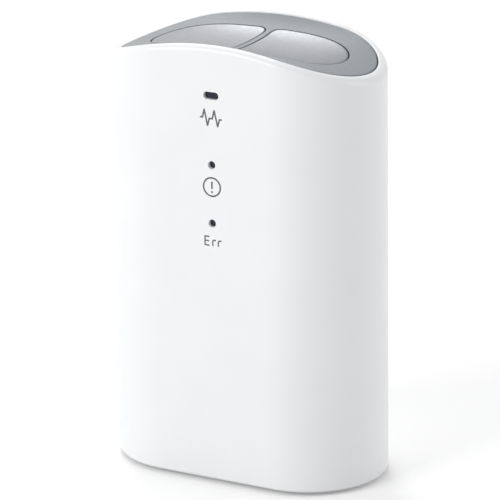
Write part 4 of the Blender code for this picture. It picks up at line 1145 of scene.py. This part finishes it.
# %% [markdown]
# The marks beside the windows are printed: a heartbeat line, an exclamation mark in a ring and the
# letters of the error light. Each stroke starts as one point that is extruded from bend to bend.
# Turned into a curve with a bevel it becomes a round line with clean joints, and pressed nearly flat
# against the wall it is ink that stands a hair proud.

# %% Lines of ink
INK_PROUD = 0.00003
INK_WIDTH = 0.00040
INK_ROUNDING = 3
EASE_SHARE = 0.25


def on_wall(point):
    """A printed point in millimetres above the foot, as a place on the front wall."""
    x, z = point[0] / MM, FOOT_Z + point[1] / MM
    return Vector((x, wall_y(-1, z), z))


def press_flat(width):
    """In edit mode: squeezes round lines against the wall until they are a film."""
    mesh = edited_mesh()
    for point in mesh.verts:
        face = wall_y(-1, point.co.z)
        point.co.y = face + (point.co.y - face) * 2 * INK_PROUD / width
    show_edits()


def add_line(points, width):
    """Draws a line of ink through a row of places on the wall, with two more close to each bend."""
    bends = [on_wall(point) for point in points]
    places = [bends[0]]
    for start, end in zip(bends, bends[1:]):
        ease = (end - start).normalized() * EASE_SHARE * min(width, (end - start).length)
        places += [start + ease, end - ease, end]
    bpy.ops.object.select_all(action="DESELECT")
    bpy.ops.mesh.primitive_plane_add(size=width)
    line = begin("line")
    bpy.ops.mesh.merge(type="CENTER")
    set_selection("VERT", "SELECT")
    bpy.ops.transform.translate(value=places[0])
    for start, end in zip(places, places[1:]):
        extrude(end - start)
    bpy.ops.object.mode_set(mode="OBJECT")
    bpy.ops.object.convert(target="CURVE")
    line.data.bevel_depth = width / 2
    line.data.bevel_resolution = INK_ROUNDING
    line.data.use_fill_caps = True
    bpy.ops.object.convert(target="MESH")
    bpy.ops.object.mode_set(mode="EDIT")
    press_flat(width)
    tidy_mesh()
    return leave(line)


print("Lines of ink are", MM * INK_WIDTH, "mm wide")

# %% [markdown]
# The marks are drawn from points in millimetres above the foot. The shoulder of each small r is a
# quarter circle, and the ring is a torus that is pressed flat as well.

# %% Printed marks
LETTER_WIDTH = 0.00034
INK_STEPS = 8
INK_SIDES = 8
RING_SEGMENTS = 72
WAVE_POINTS = ((-2.74, 84.70), (-2.12, 84.72), (-1.69, 86.55), (-0.88, 82.90), (-0.44, 84.58),
               (0.32, 84.58), (0.78, 86.52), (1.64, 82.92), (2.10, 84.58), (2.66, 84.58))
RING_CENTRE = (0.04, 68.96)
RING_RADIUS = 0.00210
BANG_BAR = ((0.04, 70.18), (0.04, 68.52))
BANG_DOT = ((0.04, 68.00), (0.04, 67.58))
BANG_WIDTH = 0.00042
CAPITAL_E = ((-0.74, 57.45), (-1.86, 57.45), (-1.86, 55.42), (-0.74, 55.42))
CAPITAL_BAR = ((-1.86, 56.46), (-0.86, 56.46))
SMALL_R_FEET = ((0.09, 55.36), (1.50, 55.36))
SMALL_R_SHOULDER, SMALL_R_TOP = 0.42, 56.74
SMALL_R_REACH = 0.80


def join_mark(name, parts):
    """Joins lines into one printed mark."""
    bpy.ops.object.select_all(action="DESELECT")
    for part in parts:
        part.select_set(True)
    bpy.context.view_layer.objects.active = parts[0]
    if len(parts) > 1:
        bpy.ops.object.join()
    mark = begin(name)
    leave(mark)
    dress(mark, grey_ink, "monitor", None)


def small_r(foot):
    """The places of a small r: up its stem, round its shoulder and along its arm."""
    x, low = foot
    places = [(x, low)]
    for step in range(INK_STEPS + 1):
        turn = math.pi - math.pi / 2 * step / INK_STEPS
        places.append((x + SMALL_R_SHOULDER * (1 + math.cos(turn)),
                       SMALL_R_TOP - SMALL_R_SHOULDER * (1 - math.sin(turn))))
    return places + [(x + SMALL_R_REACH, SMALL_R_TOP)]


join_mark("wave_mark", [add_line(WAVE_POINTS, INK_WIDTH)])
join_mark("bang_mark", [add_line(BANG_BAR, BANG_WIDTH), add_line(BANG_DOT, BANG_WIDTH)])
letters = [add_line(CAPITAL_E, LETTER_WIDTH), add_line(CAPITAL_BAR, LETTER_WIDTH)]
letters += [add_line(small_r(foot), LETTER_WIDTH) for foot in SMALL_R_FEET]
join_mark("error_letters", letters)

bpy.ops.object.select_all(action="DESELECT")
bpy.ops.mesh.primitive_torus_add(major_radius=RING_RADIUS, minor_radius=INK_WIDTH / 2,
                                 major_segments=RING_SEGMENTS, minor_segments=INK_SIDES,
                                 rotation=(math.pi / 2, 0, 0), location=on_wall(RING_CENTRE))
ring = begin("ring_mark")
press_flat(INK_WIDTH)
leave(ring)
dress(ring, grey_ink, "monitor", None)

# %% [markdown]
# ## The foot
#
# A grey cover closes the sleeve from below, with the chest plate let into it. Round pieces such as
# screws, cells and keys come from one helper: it starts from a disc and extrudes it step by step,
# each step with its own radius, which is how one would draw a turned part by hand.

# %% Round and upright pieces
def turn_piece(name, middle, axis, steps, segments):
    """Builds a round piece along an axis from (radius, place) steps, and leaves it in object mode."""
    along = Vector((0, 0, 1)) if axis == "Z" else Vector((0, 1, 0))
    radius, place = steps[0]
    centre = Vector(middle) + along * place
    bpy.ops.object.select_all(action="DESELECT")
    bpy.ops.mesh.primitive_circle_add(vertices=segments, radius=radius, fill_type="NGON",
                                      location=centre, rotation=AXIS_TURNS[axis])
    piece = begin(name)
    for next_radius, next_place in steps[1:]:
        move = along * (next_place - place)
        extrude(move)
        share = next_radius / radius
        size = (share, share, 1) if axis == "Z" else (share, 1, share)
        centre = Vector(middle) + along * next_place
        bpy.ops.transform.resize(value=size, center_override=centre)
        radius, place = next_radius, next_place
    close_openings()
    tidy_mesh()
    return leave(piece)


def add_upright_block(size, middle, corner, segments):
    """A block whose four upright edges are rounded."""
    bpy.ops.object.select_all(action="DESELECT")
    bpy.ops.mesh.primitive_cube_add(size=1, location=middle)
    bpy.context.object.scale = size
    block = begin("block")
    pick("EDGE", lambda at: abs(at.z - middle[2]) < NEAR)
    round_off(corner, segments)
    return leave(block)


print("Round and upright pieces ready")

# %% [markdown]
# The cover is a slab swept round the stadium like the panel. It carries two bosses for the screws
# that hold it, a shallow pocket for the chest plate and a hole for that plate's stem. The cuts go
# through the bosses too, so the bosses are joined on first.

# %% Foot cover
COVER_INSET = 0.0013
COVER_PLATE = 0.0024
COVER_RINGS = 4
COVER_EDGE = 0.0004
BOSS_SEGMENTS = 48
OVAL_STEPS = 24
BOSS_RADIUS = 0.0031
HEAD_BORE = 0.0021
SHANK_BORE = 0.0012
STEM_BORE = 0.0017
CHEST_POCKET = 0.0010
CUT_OVER = 0.0002
cover_low, cover_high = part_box("base_cover")
screw_low, screw_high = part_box("base_screw_right")
screw_x = (screw_low.x + screw_high.x) / 2
chest_low, chest_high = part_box("chest_electrode")
chest_stem_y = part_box("finger_contact_right")[1].y - STEM_RADIUS
cover_top = cover_low.z + COVER_PLATE

cover = draw_slab_section(HALF_DEPTH - COVER_INSET, cover_low.z, cover_top, COVER_RINGS, 0, COVER_EDGE)
sweep(REACH)
tidy_mesh()
leave(cover)
for side in (-1, 1):
    boss = turn_piece("boss", (side * screw_x, 0, 0), "Z",
                      [(BOSS_RADIUS, cover_top - CUT_OVER), (BOSS_RADIUS, cover_high.z)], BOSS_SEGMENTS)
    carve(cover, boss, "UNION")
    bore = turn_piece("bore", (side * screw_x, 0, 0), "Z",
                      [(HEAD_BORE, cover_low.z - CUT_OVER), (HEAD_BORE, cover_top),
                       (SHANK_BORE, cover_top), (SHANK_BORE, cover_high.z + CUT_OVER)],
                      ROUND_SEGMENTS)
    carve(cover, bore)
stem_bore = turn_piece("bore", (0, chest_stem_y, 0), "Z",
                       [(STEM_BORE, cover_low.z - CUT_OVER), (STEM_BORE, cover_top + CUT_OVER)],
                       ROUND_SEGMENTS)
carve(cover, stem_bore)
pocket_size = (chest_high.x - chest_low.x + 2 * INLAY_GAP, chest_high.y - chest_low.y + 2 * INLAY_GAP,
               CHEST_POCKET + CUT_OVER)
pocket_middle = (0, 0, cover_low.z + (CHEST_POCKET - CUT_OVER) / 2)
carve(cover, add_upright_block(pocket_size, pocket_middle, pocket_size[1] / 2 - NEAR, OVAL_STEPS))
cover.name = "foot_cover"
dress(cover, grey_plastic, "monitor", "grey_plastic", "base_cover")

# %% [markdown]
# The chest plate is the pad that rests on the skin. It is a stadium with a well rounded lower edge,
# so that it does not pinch. Its stem goes up through the cover to the spring leaf.

# %% Chest plate
CHEST_THICKNESS = 0.0021
CHEST_EDGE = 0.0005
CHEST_TOP_EDGE = 0.0001
CHEST_EDGE_STEPS, CHEST_TOP_STEPS = 5, 2

size = (chest_high.x - chest_low.x, chest_high.y - chest_low.y, CHEST_THICKNESS)
chest_plate = add_upright_block(size, (0, 0, CHEST_THICKNESS / 2), size[1] / 2 - NEAR, OVAL_STEPS)
bpy.ops.object.mode_set(mode="EDIT")
pick("EDGE", lambda at: at.z < NEAR)
round_off(CHEST_EDGE, CHEST_EDGE_STEPS)
pick("EDGE", lambda at: at.z > CHEST_THICKNESS - NEAR)
round_off(CHEST_TOP_EDGE, CHEST_TOP_STEPS)
leave(chest_plate)
stem = turn_piece("stem", (0, chest_stem_y, 0), "Z",
                  [(STEM_RADIUS, CHEST_THICKNESS / 2), (STEM_RADIUS, chest_high.z)], STEM_SEGMENTS)
carve(chest_plate, stem, "UNION")
chest_plate.name = "chest_plate"
dress(chest_plate, electrode_steel, "monitor", "electrode_steel", "chest_electrode")

# %% [markdown]
# The two cover screws are alike, so one is modelled and copied. The head has a cross recess cut by
# two thin blocks. The thread is a row of rings instead of a helix: nobody can see the difference
# inside a boss, and rings keep the mesh light.

# %% Foot screws
HEAD_RADIUS = 0.0019
HEAD_DEPTH = 0.0012
HEAD_EDGE = 0.0003
SHANK_RADIUS = 0.0010
THREAD_DEPTH = 0.00015
THREAD_PITCH = 0.0006
RECESS_WIDTH = 0.0005
RECESS_DEPTH = 0.0006
RECESS_SHARE = 0.6
RECESS_CORNER, RECESS_STEPS = 0.000125, 2
SCREW_SEGMENTS = 32

steps = [(HEAD_RADIUS - HEAD_EDGE, screw_low.z), (HEAD_RADIUS, screw_low.z + HEAD_EDGE),
         (HEAD_RADIUS, screw_low.z + HEAD_DEPTH), (SHANK_RADIUS, screw_low.z + HEAD_DEPTH)]
height = screw_low.z + HEAD_DEPTH + THREAD_PITCH
while height < screw_high.z - THREAD_PITCH:
    steps += [(SHANK_RADIUS, height), (SHANK_RADIUS - THREAD_DEPTH, height + THREAD_PITCH / 2)]
    height += THREAD_PITCH
steps += [(SHANK_RADIUS, height), (SHANK_RADIUS - 2 * THREAD_DEPTH, screw_high.z)]
foot_screw = turn_piece("foot_screw_right", (screw_x, 0, 0), "Z", steps, SCREW_SEGMENTS)
for long_x in (True, False):
    long, short = 2 * RECESS_SHARE * HEAD_RADIUS, RECESS_WIDTH
    size = (long if long_x else short, short if long_x else long, 2 * RECESS_DEPTH)
    carve(foot_screw, add_upright_block(size, (screw_x, 0, screw_low.z), RECESS_CORNER, RECESS_STEPS))
only(foot_screw)
bpy.ops.object.duplicate()
other_screw = bpy.context.object
other_screw.name = "foot_screw_left"
other_screw.location.x = -2 * screw_x
apply_place()
dress(foot_screw, plated_steel, "monitor", "plated_steel", "base_screw_right")
dress(other_screw, plated_steel, "monitor", "plated_steel", "base_screw_left")

# %% [markdown]
# ## The back
#
# The battery door is a plate that continues the sleeve's back wall, so its outer face leans with
# that wall. Two tabs hook it in below, a rib snaps behind the edge above, and a hollow for the
# thumb sits just under that rib. The edge all round is soft, as on the opening it closes.

# %% Battery door
DOOR_PLATE = 0.0019
DOOR_EDGE = 0.0003
TAB_WIDTH = 0.0020
TAB_DEPTH = 0.0012
TAB_X = 0.0096
TAB_ROOT = 0.0016
TAB_OVERLAP = 0.0038
LATCH_HALF = 0.0034
LATCH_LOW, LATCH_HIGH = 0.0025, 0.0003
LATCH_DEPTH = 0.0005
NOTCH_RADIUS = 0.0055
NOTCH_WIDTH = 0.0110
NOTCH_DEPTH = 0.0007
NOTCH_DROP = 0.0047
NOTCH_SEGMENTS = 96
DOOR_EDGE_STEPS = 4
TAB_CORNER, ROOT_CORNER, ROOT_STEPS = 0.0003, 0.00015, 2
door_inner = HALF_DEPTH - DOOR_PLATE

size = (2 * door_half, DOOR_PLATE, door_top - door_foot)
middle = (0, HALF_DEPTH - DOOR_PLATE / 2, (door_foot + door_top) / 2)
door = add_rounded_block(size, middle, DOOR_CORNER, CORNER_STEPS)
bpy.ops.object.mode_set(mode="EDIT")
pick("VERT", lambda at: at.y > HALF_DEPTH - NEAR)
mesh = bmesh.from_edit_mesh(door.data)
for point in mesh.verts:
    if point.select:
        point.co.y = wall_y(1, point.co.z)
bmesh.update_edit_mesh(door.data)
bpy.ops.mesh.select_mode(type="EDGE")
round_off(DOOR_EDGE, DOOR_EDGE_STEPS)
leave(door)
notch_z = door_top - NOTCH_DROP
notch_middle = (0, wall_y(1, notch_z) + NOTCH_RADIUS - NOTCH_DEPTH, notch_z)
carve(door, add_rod("X", NOTCH_RADIUS, NOTCH_WIDTH, notch_middle, NOTCH_SEGMENTS))
tab_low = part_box("battery_door")[0]
for side in (-1, 1):
    size = (TAB_WIDTH, TAB_DEPTH, door_foot + TAB_OVERLAP - tab_low.z)
    middle = (side * TAB_X, tab_low.y + TAB_DEPTH / 2, tab_low.z + size[2] / 2)
    tab = add_upright_block(size, middle, TAB_CORNER, EDGE_STEPS)
    size = (TAB_WIDTH, door_inner + DOOR_PLATE / 2 - tab_low.y - TAB_DEPTH / 2, TAB_ROOT)
    middle = (side * TAB_X, tab_low.y + TAB_DEPTH / 2 + size[1] / 2, door_foot + TAB_OVERLAP - TAB_ROOT / 2)
    carve(tab, add_upright_block(size, middle, ROOT_CORNER, ROOT_STEPS), "UNION")
    carve(door, tab, "UNION")
size = (2 * LATCH_HALF, LATCH_DEPTH + DOOR_PLATE / 2, LATCH_LOW - LATCH_HIGH)
middle = (0, door_inner - LATCH_DEPTH + size[1] / 2, door_top - (LATCH_LOW + LATCH_HIGH) / 2)
carve(door, add_upright_block(size, middle, LATCH_DEPTH / 2, EDGE_STEPS), "UNION")
door.name = "battery_cover"
dress(door, white_plastic, "door", "white_plastic", "battery_door")

# %% [markdown]
# The start key is a turned piece: a post that reaches the switch, a flange that keeps it inside the
# wall, and a cap with a rounded rim and a shallow dish for the finger.

# %% Start key
KEY_RIM = 0.0006
KEY_DISH = 0.0003
KEY_DISH_RADIUS = 0.0032
KEY_ARC_STEPS = 5
key_low, key_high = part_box("start_button")
KEY_POST_RADIUS = 0.0016
KEY_POST = 0.0009
KEY_FLANGE = 0.0010
KEY_SEGMENTS = 96

flange_radius = (key_high.x - key_low.x) / 2
steps = [(KEY_POST_RADIUS, key_low.y), (KEY_POST_RADIUS, key_low.y + KEY_POST),
         (flange_radius, key_low.y + KEY_POST), (flange_radius, key_low.y + KEY_POST + KEY_FLANGE),
         (KEY_RADIUS, key_low.y + KEY_POST + KEY_FLANGE)]
for step in range(KEY_ARC_STEPS + 1):
    turn = math.pi / 2 * step / KEY_ARC_STEPS
    steps.append((KEY_RADIUS - KEY_RIM * (1 - math.cos(turn)), key_high.y - KEY_RIM * (1 - math.sin(turn))))
for step in range(KEY_ARC_STEPS):
    share = 1 - step / KEY_ARC_STEPS
    steps.append((KEY_DISH_RADIUS * share, key_high.y - KEY_DISH * (1 - share ** 2)))
key = turn_piece("start_key_cap", (0, 0, KEY_Z), "Y", steps, KEY_SEGMENTS)
dress(key, grey_plastic, "start_key", "grey_plastic", "start_button")

# %% [markdown]
# ## Batteries
#
# The two cells show when the door is open. Each is a turned can with a crimped shoulder and a nub,
# one pointing up and the other down.

# %% Cells
CRIMP = 0.0005
NUB_RADIUS = 0.0019
NUB_HEIGHT = 0.0008
NUB_EDGE = 0.0003
CELL_SEGMENTS = 64


def make_cell(word, finish, nub_up):
    """Makes one cell with its nub above or below."""
    low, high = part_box(f"battery_{word}")
    radius = (high.x - low.x) / 2
    sign = 1 if nub_up else -1
    flat = low.z if nub_up else high.z
    length = high.z - low.z
    shoulder = length - NUB_HEIGHT
    heights = [(radius - 2 * CRIMP, 0), (radius - CRIMP, 0), (radius, CRIMP),
               (radius, shoulder - CRIMP), (radius - CRIMP, shoulder), (radius - 3 * CRIMP, shoulder),
               (radius - 4 * CRIMP, shoulder - CRIMP / 2), (NUB_RADIUS, shoulder - CRIMP / 2),
               (NUB_RADIUS, length - NUB_EDGE), (NUB_RADIUS - NUB_EDGE, length)]
    middle = ((low.x + high.x) / 2, (low.y + high.y) / 2, flat)
    steps = [(size, sign * place) for size, place in heights]
    cell = turn_piece(f"cell_{word}", middle, "Z", steps, CELL_SEGMENTS)
    dress(cell, finish, "monitor", "battery_cell", f"battery_{word}")


make_cell("left", battery_wrap_up, True)
make_cell("right", battery_wrap_down, False)

# %% [markdown]
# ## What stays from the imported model
#
# Boards, chips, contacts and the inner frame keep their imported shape. They hide behind plastic, so
# they only need a finish. One table says which finish each of them wears.

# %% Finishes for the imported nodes
NODE_FINISHES = {
    frame_plastic: ("inner_frame",),
    board_laminate: ("main_board", "key_board"),
    black_plastic: ("light_shield", "processor_chip", "amplifier_chip", "beeper", "key_switch",
                    "switch_plunger"),
    clear_lamp: ("wave_lamp", "notice_lamp", "error_lamp"),
    flex_film: ("key_flex",),
    ivory_plastic: ("flex_socket",),
    gasket_rubber: ("button_gasket",),
    plated_steel: ("radio_module", "finger_contact_left", "finger_contact_right", "chest_contact",
                   "battery_bridge", "battery_plate_plus", "battery_plate_minus",
                   "battery_spring_lower", "battery_spring_upper", "panel_screw_left",
                   "panel_screw_right", "board_screw_low_left", "board_screw_low_right",
                   "board_screw_high_left", "board_screw_high_right"),
}
finished = 0
for finish, names in NODE_FINISHES.items():
    for name in names:
        node = bpy.data.objects[name]
        node.data.materials.clear()
        node.data.materials.append(finish)
        finished += 1
print("Packed nodes finished:", finished)
